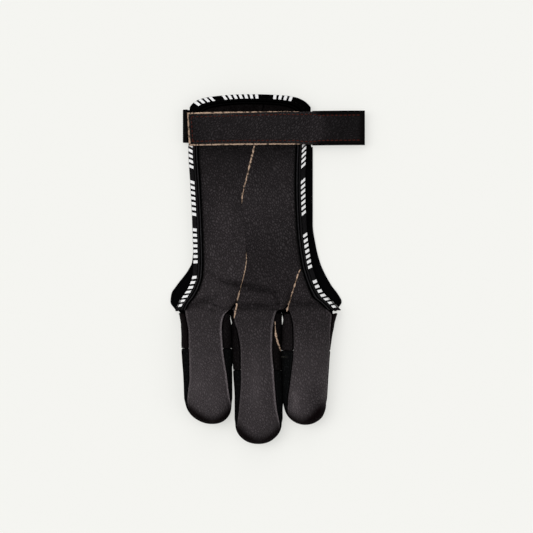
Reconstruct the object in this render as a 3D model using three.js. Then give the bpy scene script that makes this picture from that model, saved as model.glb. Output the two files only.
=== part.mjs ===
// A three-finger archery glove that lies on its back with its leather face up.
// Millimetres: X runs across the hand, Y from the fingertips to the wrist, Z up.
// Every piece is worked out with the knuckle line, where the fingers part, at Y = 0 and the
// middle of the palm at X = 0. The last lines centre the whole glove on its own footprint.

import * as THREE from "three";

// Hand
const palmLength = 129.4; // knuckle line to the wrist edge
const palmWidth = 72; // between the outer edges of the tape at mid palm
const palmCrown = 12; // top of the leather at the middle of the palm
const wristCrown = 11.4; // the same at the wrist
const openEdge = 5.2; // top of the leather's edge along the open sides
const wristRound = 7.5; // how far the wrist edge falls back at its two corners
const knuckleBlend = 22; // stretch of palm in which the finger domes die away

// Fingers
const fingerWidth = 29.4;
const fingerGap = 1.6; // between two fingers
const indexLength = 68.5; // knuckle line to fingertip
const middleLength = 80.5;
const ringLength = 69;
const middleOffset = 3.4; // middle finger's axis from the middle of the palm
const tipRound = 12; // length of the rounded end of a finger
const sideSeam = 6; // height of a finger's widest line
const fingerRise = 10; // top of a finger above its widest line

// Walls and clearances
const leatherWall = 1.4;
const stripWall = 1.2;
const elasticWall = 1.2;
const fabricWall = 1.1;
const seamGap = 0.3;
const edgeGap = 0.5; // between the leather's edge and the side strip under it
const stripStart = 2.2; // from the knuckle line to the upper end of a side strip
const stripFoot = 2.4; // lower edge of a side strip above the ground

// Tape and rims
const tapeWidth = 5.8;
const tapeThickness = 2;
const tapeProud = 0.3; // tape above the leather beside it
const rimWidth = 1.6;
const rimHeight = 1.5;

// Strap and band
const strapLength = 106.6; // seen from above
const strapWidth = 20;
const strapThickness = 1.8;
const strapHeight = 109; // middle line of the strap above the knuckle line
const strapTilt = 1; // rise of the free end towards the wrist edge
const strapSpring = 1.5; // bow of the free end
const bandWidth = 19.8;
const bandThickness = 1.4;
const bandReach = 3; // how far the band stands out beside the palm
const bandRise = 2; // middle line of the band above that of the strap's end
const padEnd = 0.6; // pad's end short of the strap's free end
const padClear = 0.9; // pad's other end off the tape
const padProud = 0.4; // pad beyond each long edge of the strap
const padThickness = 1.4;

// Shapes of curves
const domePower = 2.2; // a finger's top, 2 is an ellipse
const solePower = 4; // a finger's underside, nearly flat
const palmPower = 2.6;
const solePress = 0.6; // how far the underside is pressed flat by the ground

// The wrist edge's corners: the share of `wristRound` that bows, and how tight the rest turns.
const leftCorner = { bow: 0.45, power: 12 };
const rightCorner = { bow: 0.27, power: 8 };

const half = palmWidth / 2;
const fingerHalf = fingerWidth / 2;
const fingerPitch = fingerWidth + fingerGap;

// Outer edges of the tape beside the open sides. `at` is a share of the palm's length,
// `left` and `right` are shares of half its width.
const OPEN_EDGE = [
  { at: 0, left: -1.25, right: 1.52 },
  { at: 0.037, left: -1.19, right: 1.393 },
  { at: 0.075, left: -1.1, right: 1.25 },
  { at: 0.112, left: -1.023, right: 1.16 },
  { at: 0.164, left: -0.962, right: 1.083 },
  { at: 0.225, left: -0.95, right: 1.023 },
  { at: 0.398, left: -0.967, right: 0.947 },
  { at: 0.585, left: -1, right: 0.925 },
  { at: 0.749, left: -1.033, right: 0.942 },
  { at: 0.944, left: -1.01, right: 1.015 },
  { at: 1, left: -1.01, right: 1.015 },
];

// Edges of the back panel with its rim, in the same shares.
const BACK_EDGE = [
  { at: 0, left: -1.25, right: 1.45 },
  { at: 0.037, left: -1.333, right: 1.533 },
  { at: 0.075, left: -1.317, right: 1.467 },
  { at: 0.112, left: -1.233, right: 1.367 },
  { at: 0.187, left: -1.033, right: 1.22 },
  { at: 0.225, left: -0.97, right: 1.167 },
  { at: 0.3, left: -0.95, right: 1.1 },
  { at: 0.4, left: -0.95, right: 1.05 },
  { at: 0.749, left: -0.97, right: 1.05 },
  { at: 1, left: -0.98, right: 1 },
];

// The seam between index and middle: `across` goes from the crotch, 0, to its place at the wrist, 1.
const INNER_SEAM = [
  { at: 0, across: 0 },
  { at: 0.03, across: 0.15 },
  { at: 0.1, across: 0.305 },
  { at: 0.24, across: 0.49 },
  { at: 0.36, across: 0.44 },
  { at: 0.5, across: 0.35 },
  { at: 0.628, across: 0.522 },
  { at: 0.74, across: 0.707 },
  { at: 1, across: 1.1 },
];
const innerSeamAtWrist = 0.217; // share of half the palm's width

// The seam between middle and ring ends at the tape, this share of the palm up.
const OUTER_SEAM = [
  { at: 0, across: 0 },
  { at: 0.03, across: 0.27 },
  { at: 0.08, across: 0.45 },
  { at: 0.13, across: 0.625 },
  { at: 0.175, across: 0.8 },
  { at: 0.2, across: 1 },
];
const outerSeamEnd = OUTER_SEAM[OUTER_SEAM.length - 1].at;

// Fingers. `at` is a share of the finger's length, `left` and `right` its sides as shares of
// half its width, and `frontLeft` and `frontRight` how much of each side the leather front covers.
const FINGERS = [
  {
    name: "index",
    axis: middleOffset - fingerPitch,
    length: indexLength,
    backStart: 0.34,
    sides: ["outer", "inner"],
    rows: [
      { at: 0, left: 1.14, right: 1.06, frontLeft: 0.68, frontRight: 0.98 },
      { at: 0.05, left: 1.01, right: 1.06, frontLeft: 0.755, frontRight: 0.78 },
      { at: 0.175, left: 0.94, right: 1.11, frontLeft: 0.71, frontRight: 0.65 },
      { at: 0.35, left: 0.92, right: 1.12, frontLeft: 0.708, frontRight: 0.69 },
      { at: 0.6, left: 0.84, right: 1.15, frontLeft: 0.755, frontRight: 0.816 },
      { at: 0.77, left: 0.81, right: 1.15, frontLeft: 0.876, frontRight: 0.909 },
      { at: 0.825, left: 0.755, right: 1.12, frontLeft: 0.913, frontRight: 0.97 },
      { at: 1, left: 0.61, right: 1.26, frontLeft: 1, frontRight: 1 },
    ],
  },
  {
    name: "middle",
    axis: middleOffset,
    length: middleLength,
    backStart: 0.45,
    sides: ["left", "right"],
    rows: [
      { at: 0, left: 1, right: 1.12, frontLeft: 0.935, frontRight: 0.77 },
      { at: 0.075, left: 0.96, right: 1.06, frontLeft: 0.927, frontRight: 0.705 },
      { at: 0.164, left: 0.95, right: 1.03, frontLeft: 0.783, frontRight: 0.668 },
      { at: 0.3, left: 0.94, right: 1, frontLeft: 0.68, frontRight: 0.676 },
      { at: 0.455, left: 0.92, right: 1.05, frontLeft: 0.69, frontRight: 0.7 },
      { at: 0.657, left: 0.857, right: 1.09, frontLeft: 0.79, frontRight: 0.73 },
      { at: 0.806, left: 0.857, right: 1.1, frontLeft: 0.875, frontRight: 0.85 },
      { at: 0.85, left: 0.83, right: 1.06, frontLeft: 0.93, frontRight: 0.93 },
      { at: 1, left: 0.845, right: 1.045, frontLeft: 1, frontRight: 1 },
    ],
  },
  {
    name: "ring",
    axis: middleOffset + fingerPitch,
    length: ringLength,
    backStart: 0.355,
    sides: ["left", "outer"],
    rows: [
      { at: 0, left: 0.927, right: 1.306, frontLeft: 0.846, frontRight: 0.6 },
      { at: 0.05, left: 0.96, right: 1.204, frontLeft: 0.74, frontRight: 0.82 },
      { at: 0.14, left: 0.988, right: 1.1, frontLeft: 0.62, frontRight: 0.863 },
      { at: 0.35, left: 1.03, right: 0.94, frontLeft: 0.542, frontRight: 0.965 },
      { at: 0.59, left: 1, right: 0.857, frontLeft: 0.67, frontRight: 0.966 },
      { at: 0.765, left: 0.98, right: 0.804, frontLeft: 0.8, frontRight: 0.968 },
      { at: 0.826, left: 0.95, right: 0.763, frontLeft: 0.84, frontRight: 0.98 },
      { at: 1, left: 0.93, right: 0.763, frontLeft: 1, frontRight: 1 },
    ],
  },
];

// How a finger fills out from its base: shares of `fingerRise` and of `sideSeam`.
const FILL = [
  { at: 0, rise: 0.7, seam: 0.66 },
  { at: 0.06, rise: 0.76, seam: 0.85 },
  { at: 0.16, rise: 0.92, seam: 1 },
  { at: 0.4, rise: 1, seam: 1 },
  { at: 1, rise: 0.96, seam: 1 },
];

// Creases of the palm: place and half length as shares of half the palm's width, depth and
// breadth as shares of the leather's wall.
const CREASES = [
  { x: 0.02, y: 0.435, reach: 0.44, tilt: -0.04, depth: 0.6, breadth: 1.3 },
  { x: 0.04, y: 0.37, reach: 0.42, tilt: 0.03, depth: 0.5, breadth: 1.2 },
  { x: 0.1, y: 0.06, reach: 0.36, tilt: 0, depth: 0.7, breadth: 1.5 },
  { x: -0.86, y: 0.12, reach: 0.3, tilt: 0.35, depth: 0.6, breadth: 1.5 },
  { x: 0.92, y: 0.1, reach: 0.3, tilt: -0.1, depth: 0.6, breadth: 1.5 },
];

const UP = new THREE.Vector3(0, 0, 1);
const TIP = new THREE.Vector3(0, -1, 0);

const mix = (a, b, share) => a + (b - a) * share;
const clamp = (value) => Math.min(1, Math.max(0, value));
const smooth = (value) => clamp(value) ** 2 * (3 - 2 * clamp(value));

// A smooth run through one column of a table that never swings past its rows.
function track(rows, column) {
  const last = rows.length - 1;
  const rate = (i) => (rows[i + 1][column] - rows[i][column]) / (rows[i + 1].at - rows[i].at);
  const slopes = rows.map((row, i) => {
    if (i === 0) return rate(0);
    if (i === last) return rate(last - 1);
    const before = rate(i - 1);
    const after = rate(i);
    return before * after > 0 ? (2 * before * after) / (before + after) : 0;
  });
  return (at) => {
    let i = 0;
    while (i < last - 1 && at > rows[i + 1].at) i += 1;
    const span = rows[i + 1].at - rows[i].at;
    const t = clamp((at - rows[i].at) / span);
    const from = rows[i][column];
    const to = rows[i + 1][column];
    const bend = (1 - t) * slopes[i] * span - t * slopes[i + 1] * span;
    return mix(from, to, t) + t * (1 - t) * (bend + (to - from) * (2 * t - 1));
  };
}

const tracks = (rows, ...columns) =>
  Object.fromEntries(columns.map((column) => [column, track(rows, column)]));

const openEdges = tracks(OPEN_EDGE, "left", "right");
const backEdges = tracks(BACK_EDGE, "left", "right");
const fill = tracks(FILL, "rise", "seam");
const innerAcross = track(INNER_SEAM, "across");
const outerAcross = track(OUTER_SEAM, "across");
for (const finger of FINGERS) {
  finger.side = tracks(finger.rows, "left", "right", "frontLeft", "frontRight");
}
const [index, middle, ring] = FINGERS;

const openLeft = (y) => half * openEdges.left(y / palmLength);
const openRight = (y) => half * openEdges.right(y / palmLength);

// Places a distance in from the open edges, square to them.
function slopeAt(edge, y) {
  const place = Math.min(palmLength - 1, Math.max(1, y));
  return (edge(place + 1) - edge(place - 1)) / 2;
}
const insideLeft = (y, inset) => openLeft(y) + inset * Math.hypot(1, slopeAt(openLeft, y));
const insideRight = (y, inset) => openRight(y) - inset * Math.hypot(1, slopeAt(openRight, y));

// A crotch lies halfway between the sides of the two fingers that it parts.
const crotchX = (a, b) =>
  (a.axis + fingerHalf * a.side.right(0) + b.axis - fingerHalf * b.side.left(0)) / 2;

function innerSeam(y) {
  const from = crotchX(index, middle);
  return mix(from, half * innerSeamAtWrist, innerAcross(y / palmLength));
}

function outerSeam(y) {
  const from = crotchX(middle, ring);
  const to = insideRight(outerSeamEnd * palmLength, tapeWidth);
  return mix(from, to, outerAcross(y / palmLength));
}

// Left and right side of one finger's strip of the glove at y, on the fingers and up the palm.
function sidesAt(finger, y) {
  if (y < 0) {
    const at = -y / finger.length;
    const left = finger.axis - fingerHalf * finger.side.left(at);
    const right = finger.axis + fingerHalf * finger.side.right(at);
    return [left, right];
  }
  const belowSeamEnd = y < outerSeamEnd * palmLength;
  if (finger === index) return [openLeft(y), innerSeam(y)];
  if (finger === middle) return [innerSeam(y), belowSeamEnd ? outerSeam(y) : openRight(y)];
  return [outerSeam(y), openRight(y)];
}

// Left and right edge of the leather front at y.
function frontAt(finger, y) {
  const [left, right] = sidesAt(finger, y);
  if (y < 0) {
    const at = -y / finger.length;
    const centre = (left + right) / 2;
    const reach = (right - left) / 2;
    return [centre - reach * finger.side.frontLeft(at), centre + reach * finger.side.frontRight(at)];
  }
  const inset = tapeWidth + seamGap;
  const belowSeamEnd = y < outerSeamEnd * palmLength;
  const besideTape = finger === ring || (finger === middle && !belowSeamEnd);
  return [
    finger === index ? insideLeft(y, inset) : left + seamGap / 2,
    besideTape ? insideRight(y, inset) : right - seamGap / 2,
  ];
}

// How much a finger has closed towards its tip: 1 along it, 0 at its end.
function closing(finger, y) {
  const into = clamp((-y - (finger.length - tipRound)) / tipRound);
  return Math.sqrt(1 - into * into);
}

function creaseDepth(x, y) {
  let depth = 0;
  for (const crease of CREASES) {
    const along = (x - crease.x * half) / (crease.reach * half);
    const off = y - crease.y * half - crease.tilt * (x - crease.x * half);
    const breadth = crease.breadth * leatherWall;
    depth += crease.depth * leatherWall * Math.exp(-((off / breadth) ** 2) - along ** 4);
  }
  return depth;
}

// Height of the palm's leather without the fingers.
function palmTop(x, y) {
  const left = openLeft(y);
  const right = openRight(y);
  const out = clamp(Math.abs(2 * x - left - right) / (right - left));
  const crown = mix(palmCrown, wristCrown, smooth((1.5 * y) / palmLength - 0.2));
  return openEdge + (crown - openEdge) * (1 - out ** palmPower);
}

// Height of the leather face: a dome across each finger that dies away into the palm.
function frontTop(finger, x, y) {
  const at = Math.max(0, -y / finger.length);
  const [left, right] = sidesAt(finger, y);
  const out = clamp(Math.abs(2 * x - left - right) / (right - left));
  const soften = smooth(y / (knuckleBlend / 2));
  const power = mix(domePower, 2, soften);
  const dome = (1 - out ** power) ** mix(1 / domePower, 1, soften);
  const rise = fingerRise * fill.rise(at) * closing(finger, y);
  const ofFinger = sideSeam * fill.seam(at) + seamGap / 2 + rise * dome;
  const ofPalm = smooth(y / knuckleBlend);
  return mix(ofFinger, palmTop(x, y), ofPalm) - creaseDepth(x, y) * closing(finger, y);
}

// A point round a finger's section: angle 0 is the top, a quarter turn the right side.
function section(finger, y, angle) {
  const at = Math.max(0, -y / finger.length);
  const [left, right] = sidesAt(finger, y);
  const close = closing(finger, y);
  const lower = Math.cos(angle) < 0;
  const power = 2 / (lower ? solePower : domePower);
  const out = Math.sign(Math.sin(angle)) * Math.abs(Math.sin(angle)) ** power;
  const up = Math.abs(Math.cos(angle)) ** power * close;
  const seam = sideSeam * fill.seam(at) - seamGap / 2;
  const x = (left + right) / 2 + ((right - left) / 2) * close * out;
  const z = lower ? seam - (seam + solePress) * up : seam + fingerRise * fill.rise(at) * up;
  return new THREE.Vector3(x, y, Math.max(0, z));
}

// The angle at which a section reaches a share of its half width.
const angleAt = (share) => Math.sign(share) * Math.asin(clamp(Math.abs(share)) ** (domePower / 2));

// The angle at which the underside of a section reaches a height.
function lowAngle(finger, y, height) {
  const seam = sideSeam * fill.seam(Math.max(0, -y / finger.length)) - seamGap / 2;
  const down = clamp((seam - height) / (seam + solePress));
  return Math.acos(-(down ** (solePower / 2)));
}

// A closed wall. Its outer face is point(u, v), u and v from 0 to 1, and its inner face lies
// `wall` behind it, or under it where `under` gives that direction. With a tip the last row is
// one point.
function shell(point, columns, rows, wall, { tip = null, under = null } = {}) {
  const step = 1e-3;
  const outer = [];
  const inner = [];
  for (let j = 0; j <= rows; j += 1) {
    for (let i = 0; i <= columns; i += 1) {
      const u = i / columns;
      const v = j / rows;
      const here = point(u, v);
      const across = point(Math.min(1, u + step), v).sub(point(Math.max(0, u - step), v));
      const along = point(u, Math.min(1, v + step)).sub(point(u, Math.max(0, v - step)));
      const ahead = tip !== null && j === rows ? tip : along.cross(across).normalize();
      outer.push(here);
      inner.push(here.clone().addScaledVector(under ?? ahead, -wall));
    }
  }
  const size = outer.length;
  const positions = [...outer, ...inner].flatMap((p) => [p.x, p.y, p.z]);
  const triangles = [];
  const id = (i, j) => j * (columns + 1) + (tip !== null && j === rows ? 0 : i);
  const face = (a, b, c, d) => {
    if (a !== b && b !== c) triangles.push(a, b, c);
    if (c !== d && d !== a) triangles.push(a, c, d);
  };
  for (let j = 0; j < rows; j += 1) {
    for (let i = 0; i < columns; i += 1) {
      const corners = [id(i, j), id(i, j + 1), id(i + 1, j + 1), id(i + 1, j)];
      face(...corners);
      face(...corners.reverse().map((corner) => corner + size));
    }
    face(id(0, j), id(0, j) + size, id(0, j + 1) + size, id(0, j + 1));
    face(id(columns, j + 1), id(columns, j + 1) + size, id(columns, j) + size, id(columns, j));
  }
  for (let i = 0; i < columns; i += 1) {
    face(id(i + 1, 0), id(i + 1, 0) + size, id(i, 0) + size, id(i, 0));
    if (tip === null) {
      face(id(i, rows), id(i, rows) + size, id(i + 1, rows) + size, id(i + 1, rows));
    }
  }
  return solid(positions, triangles);
}

// A bar with a closed profile, listed as [out, up], carried along points with an outward side.
function bar(stations, profile) {
  const sides = profile.length;
  const positions = stations.flatMap(({ x, y, outX, outY }) =>
    profile.flatMap(([out, up]) => [x + outX * out, y + outY * out, up]),
  );
  const triangles = [];
  for (let j = 0; j + 1 < stations.length; j += 1) {
    for (let i = 0; i < sides; i += 1) {
      const next = (i + 1) % sides;
      const [a, b] = [j * sides + i, j * sides + next];
      triangles.push(a, b, b + sides, a, b + sides, a + sides);
    }
  }
  const end = (stations.length - 1) * sides;
  for (let i = 1; i + 1 < sides; i += 1) {
    triangles.push(0, i + 1, i, end, end + i, end + i + 1);
  }
  return solid(positions, triangles);
}

// Indexed geometry whose faces all point out.
function solid(positions, triangles) {
  let volume = 0;
  const corner = (k) => new THREE.Vector3(...positions.slice(3 * k, 3 * k + 3));
  for (let k = 0; k < triangles.length; k += 3) {
    const [a, b, c] = triangles.slice(k, k + 3).map(corner);
    volume += a.dot(b.cross(c));
  }
  if (volume < 0) triangles.reverse();
  const geometry = new THREE.BufferGeometry();
  geometry.setAttribute("position", new THREE.Float32BufferAttribute(positions, 3));
  geometry.setIndex(triangles);
  geometry.computeVertexNormals();
  return geometry;
}

const LEATHER = { color: 0x2e2b2c, roughness: 0.55, metalness: 0 };
const ELASTIC = { color: 0x101012, roughness: 0.9, metalness: 0 };
const FABRIC = { color: 0x131315, roughness: 0.85, metalness: 0 };
const TAPE = { color: 0x0e0e10, roughness: 0.7, metalness: 0 };
const HOOK = { color: 0x0b0b0c, roughness: 0.95, metalness: 0 };

const glove = new THREE.Group();

function add(name, geometry, finish) {
  const mesh = new THREE.Mesh(geometry, new THREE.MeshStandardMaterial(finish));
  mesh.name = name;
  glove.add(mesh);
}

// The wrist edge bows and falls back at its corners, at most by `wristRound`. The share is -1 at
// the left corner and 1 at the right one.
function cornerFall(share) {
  const { bow, power } = share < 0 ? leftCorner : rightCorner;
  return wristRound * mix(Math.abs(share) ** power, share * share, bow);
}

const nearWrist = (y) => smooth((y / palmLength - 0.8) / 0.15);

// Share of the way from the middle of the palm to its open edge inside the tape: -1 is the left
// edge and 1 the right one.
function insideShare(x, y) {
  const left = insideLeft(y, tapeWidth);
  const right = insideRight(y, tapeWidth);
  return Math.max(-1, Math.min(1, (2 * x - left - right) / (right - left)));
}

// Rows of a front piece: few along the palm, close at the knuckles, then the finger and its tip.
function rowLevel(finger, top, v) {
  const tipStart = finger.length - tipRound;
  const knuckles = 1.2 * knuckleBlend;
  const aboveKnuckles = top > knuckles ? [{ at: 0.3, y: knuckles }] : [];
  const marks = [
    { at: 0, y: top },
    ...aboveKnuckles,
    { at: top > knuckles ? 0.58 : 0.42, y: -0.14 * finger.length },
    { at: 0.78, y: -tipStart },
  ];
  const final = marks[marks.length - 1];
  if (v >= final.at) {
    const turn = ((v - final.at) / (1 - final.at)) * (Math.PI / 2);
    return -tipStart - tipRound * Math.sin(turn);
  }
  const next = marks.findIndex((mark) => v < mark.at);
  const from = marks[next - 1];
  const to = marks[next];
  return mix(from.y, to.y, (v - from.at) / (to.at - from.at));
}

// Place across a front piece at y: u runs from its left edge to its right one.
function acrossFront(finger, y, u) {
  const [left, right] = sidesAt(finger, y);
  const [from, to] = frontAt(finger, y);
  const centre = (left + right) / 2;
  const reach = (right - left) / 2;
  const angle = mix(angleAt((from - centre) / reach), angleAt((to - centre) / reach), u);
  return centre + reach * Math.sign(angle) * Math.abs(Math.sin(angle)) ** (2 / domePower);
}

function frontPiece(finger) {
  const wristTop = palmLength - tapeWidth - seamGap;
  const seamTop = (outerSeamEnd - 0.012) * palmLength;
  const top = finger === ring ? seamTop : wristTop;
  const point = (u, v) => {
    const level = rowLevel(finger, top, v);
    const guess = acrossFront(finger, level, u);
    const y = level - nearWrist(level) * cornerFall(insideShare(guess, level));
    const across = acrossFront(finger, y, u);
    const [left, right] = sidesAt(finger, y);
    const x = mix((left + right) / 2, across, closing(finger, y));
    return new THREE.Vector3(x, y, frontTop(finger, across, y));
  };
  const rows = finger === ring ? 24 : 34;
  return shell(point, 9, rows, leatherWall, { tip: TIP });
}

// A side strip runs down a finger's side from the leather front to just above the ground.
function sideStrip(finger, right) {
  const from = stripStart;
  const to = finger.backStart * finger.length - seamGap;
  const cover = right ? finger.side.frontRight : finger.side.frontLeft;
  const point = (u, v) => {
    const y = -mix(from, to, v);
    const edge = angleAt(cover(-y / finger.length) + edgeGap / fingerHalf);
    const low = lowAngle(finger, y, stripFoot);
    const angle = right ? mix(edge, low, u) : mix(-low, -edge, u);
    return section(finger, y, angle);
  };
  return shell(point, 5, 7, stripWall);
}

// The elastic back wraps round a fingertip from one edge of the leather to the other.
function elasticBack(finger) {
  const start = finger.backStart * finger.length;
  const tipStart = finger.length - tipRound;
  const share = 0.6;
  const point = (u, v) => {
    const turn = ((v - share) / (1 - share)) * (Math.PI / 2);
    const y = v < share ? -mix(start, tipStart, v / share) : -tipStart - tipRound * Math.sin(turn);
    const at = -y / finger.length;
    const gap = (seamGap / fingerHalf) * closing(finger, y);
    const rightEdge = angleAt(finger.side.frontRight(at) + gap);
    const leftEdge = angleAt(finger.side.frontLeft(at) + gap);
    return section(finger, y, mix(rightEdge, 2 * Math.PI - leftEdge, u));
  };
  return shell(point, 16, 12, elasticWall, { tip: TIP });
}

// The back panel lies on the ground, over the wrist band, with a tongue under each finger.
const tongueShare = 0.9; // of a finger's width
const wristLift = bandThickness + seamGap;
const bandMiddle = strapHeight - strapTilt / 2 + bandRise;
const bandFoot = bandMiddle - bandWidth / 2;
const backTop = palmLength - 2;

function backLevel(y) {
  return wristLift * smooth((y - bandFoot + 12) / 10);
}

// Outer edge of the back with its rim, its slope, and the panel's own edge inside the rim.
const rimEdge = (side, y) => half * backEdges[side](y / palmLength);
const rimSlope = (side, y) => rimEdge(side, y + 0.5) - rimEdge(side, y - 0.5);
const rimInset = (side, y) => (rimWidth + 2 * seamGap) * Math.hypot(1, rimSlope(side, y));
const backLeft = (y) => rimEdge("left", y) + rimInset("left", y);
const backRight = (y) => rimEdge("right", y) - rimInset("right", y);

function backPanel() {
  // Columns of the sheet: the two edges of each tongue, with steps between, and the notches.
  const steps = 5;
  const columns = [];
  FINGERS.forEach((finger, k) => {
    for (let i = 0; i <= steps; i += 1) columns.push({ finger, share: i / steps });
    if (k < 2) columns.push({ notch: [finger, FINGERS[k + 1]] });
  });
  const edgesAt = (finger, y) => {
    const [left, right] = sidesAt(finger, y);
    const centre = (left + right) / 2;
    const reach = (tongueShare * (right - left)) / 2;
    return [centre - reach, centre + reach];
  };
  const columnX = (column, y) => {
    if (column.notch) {
      const [a, b] = column.notch;
      return (edgesAt(a, Math.min(0, y))[1] + edgesAt(b, Math.min(0, y))[0]) / 2;
    }
    const [left, right] = edgesAt(column.finger, Math.min(0, y));
    return mix(left, right, column.share);
  };
  const first = columns[0];
  const final = columns[columns.length - 1];
  const point = (u, v) => {
    const place = u * (columns.length - 1);
    const k = Math.min(columns.length - 2, Math.floor(place));
    const bottom = (column) =>
      column.notch ? -0.5 : -column.finger.backStart * column.finger.length + seamGap;
    const low = mix(bottom(columns[k]), bottom(columns[k + 1]), place - k);
    const fingerRows = 0.3;
    const y = v > 1 - fingerRows ? mix(0, low, (v - 1 + fingerRows) / fingerRows)
      : mix(backTop, 0, v / (1 - fingerRows));
    const x = mix(columnX(columns[k], y), columnX(columns[k + 1], y), place - k);
    const ease = smooth((y + 4) / 3.2);
    const spread = (x - columnX(first, 0)) / (columnX(final, 0) - columnX(first, 0));
    const wide = mix(backLeft(y), backRight(y), spread);
    const fall = nearWrist(y) * cornerFall(2 * spread - 1);
    return new THREE.Vector3(mix(x, wide, ease), y - fall, backLevel(y) + fabricWall);
  };
  return shell(point, columns.length - 1, 20, fabricWall, { under: UP });
}

// The tape follows the edge of the leather: up the left, across the wrist, down the right.
function frontTape() {
  const cornerY = palmLength - wristRound;
  const sideShare = 0.4;
  const point = (u, v) => {
    const inset = mix(tapeWidth, 0, u);
    const onSide = v < sideShare || v > 1 - sideShare;
    if (onSide) {
      const isLeft = v < 0.5;
      const up = ((isLeft ? v : 1 - v) / sideShare) ** 1.4;
      const y = up * (cornerY - inset);
      const x = isLeft ? insideLeft(y, inset) : insideRight(y, inset);
      const finger = isLeft ? index : ring;
      const arch = tapeProud * (1 - (2 * u - 1) ** 4);
      return new THREE.Vector3(x, y, frontTop(finger, x, y) + arch);
    }
    const turn = mix(-1, 1, (v - sideShare) / (1 - 2 * sideShare));
    const share = Math.sin((turn * Math.PI) / 2);
    const left = insideLeft(cornerY, inset);
    const right = insideRight(cornerY, inset);
    const x = mix(left, right, (share + 1) / 2);
    const y = palmLength - inset - cornerFall(share);
    const arch = tapeProud * (1 - (2 * u - 1) ** 4);
    return new THREE.Vector3(x, y, palmTop(x, y) + arch);
  };
  return shell(point, 3, 70, tapeThickness, { under: UP });
}

// A bound rim along one side of the back panel, from the knuckle line to the wrist band.
function backRim(side) {
  const from = -0.8;
  const to = bandFoot - 2.5;
  const count = 22;
  const stations = Array.from({ length: count + 1 }, (unused, k) => {
    const y = mix(from, to, (k / count) ** 1.4);
    const slope = rimSlope(side, y);
    const scale = (side === "right" ? 1 : -1) / Math.hypot(1, slope);
    return { x: rimEdge(side, y), y, outX: scale, outY: -slope * scale };
  });
  const profile = [
    [-rimWidth, 0],
    [0, 0],
    [0, rimHeight * 0.6],
    [-rimWidth * 0.3, rimHeight],
    [-rimWidth, rimHeight * 0.8],
  ];
  return bar(stations, profile);
}

// The strap lies over the palm's wrist and its free end stands out on the right.
const strapOverhang = 0.6;
const strapLeft = openLeft(strapHeight) - strapOverhang;
const strapRight = strapLeft + strapLength;

function strapBase(x) {
  const levels = [-0.5, 0, 0.5].map((k) => {
    const y = strapHeight + k * strapWidth;
    const inside = Math.min(openRight(y), Math.max(openLeft(y), x));
    return palmTop(inside, y);
  });
  const edge = openRight(strapHeight);
  const free = clamp((x - edge) / (strapRight - edge));
  const bow = strapSpring * Math.sin(Math.PI * free) - 0.6 * free * free;
  return Math.max(...levels) + tapeProud + seamGap + bow;
}

const strapY = (x) => strapHeight + strapTilt * ((x - strapLeft) / strapLength - 0.5);

function ribbon(left, right, width, base, thickness, columns) {
  const point = (u, v) => {
    const x = mix(left, right, v);
    return new THREE.Vector3(x, strapY(x) + width * (u - 0.5), base(x) + thickness);
  };
  return shell(point, 2, columns, thickness);
}

// The band leaves the strap's left end, turns down round the side and lies under the back panel.
function wristBand() {
  const top = strapBase(strapLeft) + strapThickness / 2;
  const radius = (top - bandThickness / 2) / 2;
  const turnX = openLeft(strapHeight) - bandReach + radius;
  const start = Math.asin(clamp((turnX - strapLeft + seamGap) / radius));
  const end = openRight(strapHeight) - 1;
  const turnShare = 0.55;
  const point = (u, v) => {
    const y = bandMiddle + bandWidth * (0.5 - u);
    if (v > turnShare) {
      const x = mix(turnX, end, (v - turnShare) / (1 - turnShare));
      return new THREE.Vector3(x, y, 0);
    }
    const angle = mix(start, Math.PI, v / turnShare);
    const outer = radius + bandThickness / 2;
    const x = turnX - outer * Math.sin(angle);
    return new THREE.Vector3(x, y, radius + bandThickness / 2 + outer * Math.cos(angle));
  };
  return shell(point, 2, 20, bandThickness);
}

for (const finger of FINGERS) {
  add(`${finger.name}_front`, frontPiece(finger), LEATHER);
  finger.sides.forEach((side, k) => {
    add(`${finger.name}_${side}_side`, sideStrip(finger, k === 1), LEATHER);
  });
  add(`${finger.name}_back`, elasticBack(finger), ELASTIC);
}
add("back_panel", backPanel(), FABRIC);
add("front_tape", frontTape(), TAPE);
add("left_back_binding", backRim("left"), TAPE);
add("right_back_binding", backRim("right"), TAPE);
add("strap", ribbon(strapLeft, strapRight, strapWidth, strapBase, strapThickness, 30), LEATHER);
const padBase = (x) => strapBase(x) - padThickness - seamGap;
const padBeside = [-strapWidth, 0, strapWidth].map((step) => openRight(strapHeight + step / 2));
const padLeft = Math.max(...padBeside) + padClear;
const padWidth = strapWidth + 2 * padProud;
add("hook_pad", ribbon(padLeft, strapRight - padEnd, padWidth, padBase, padThickness, 10), HOOK);
add("wrist_band", wristBand(), ELASTIC);

// Centre the glove on its footprint and stand it on the ground.
const box = new THREE.Box3().setFromObject(glove, true);
const centre = box.getCenter(new THREE.Vector3());
glove.position.set(-centre.x, -centre.y, -box.min.z);
const part = new THREE.Group();
part.add(glove);

export default part;
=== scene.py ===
"""The looks of a three-finger archery glove that lies on its back with its leather face up.

Lengths in the shape functions are millimetres in the glove's own net: X runs across the hand, Y
from the fingertips to the wrist with the knuckle line at 0, and Z up from the ground. `mesh_piece`
moves each finished mesh to the frame's place and turns it to metres.
"""

import math

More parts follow.
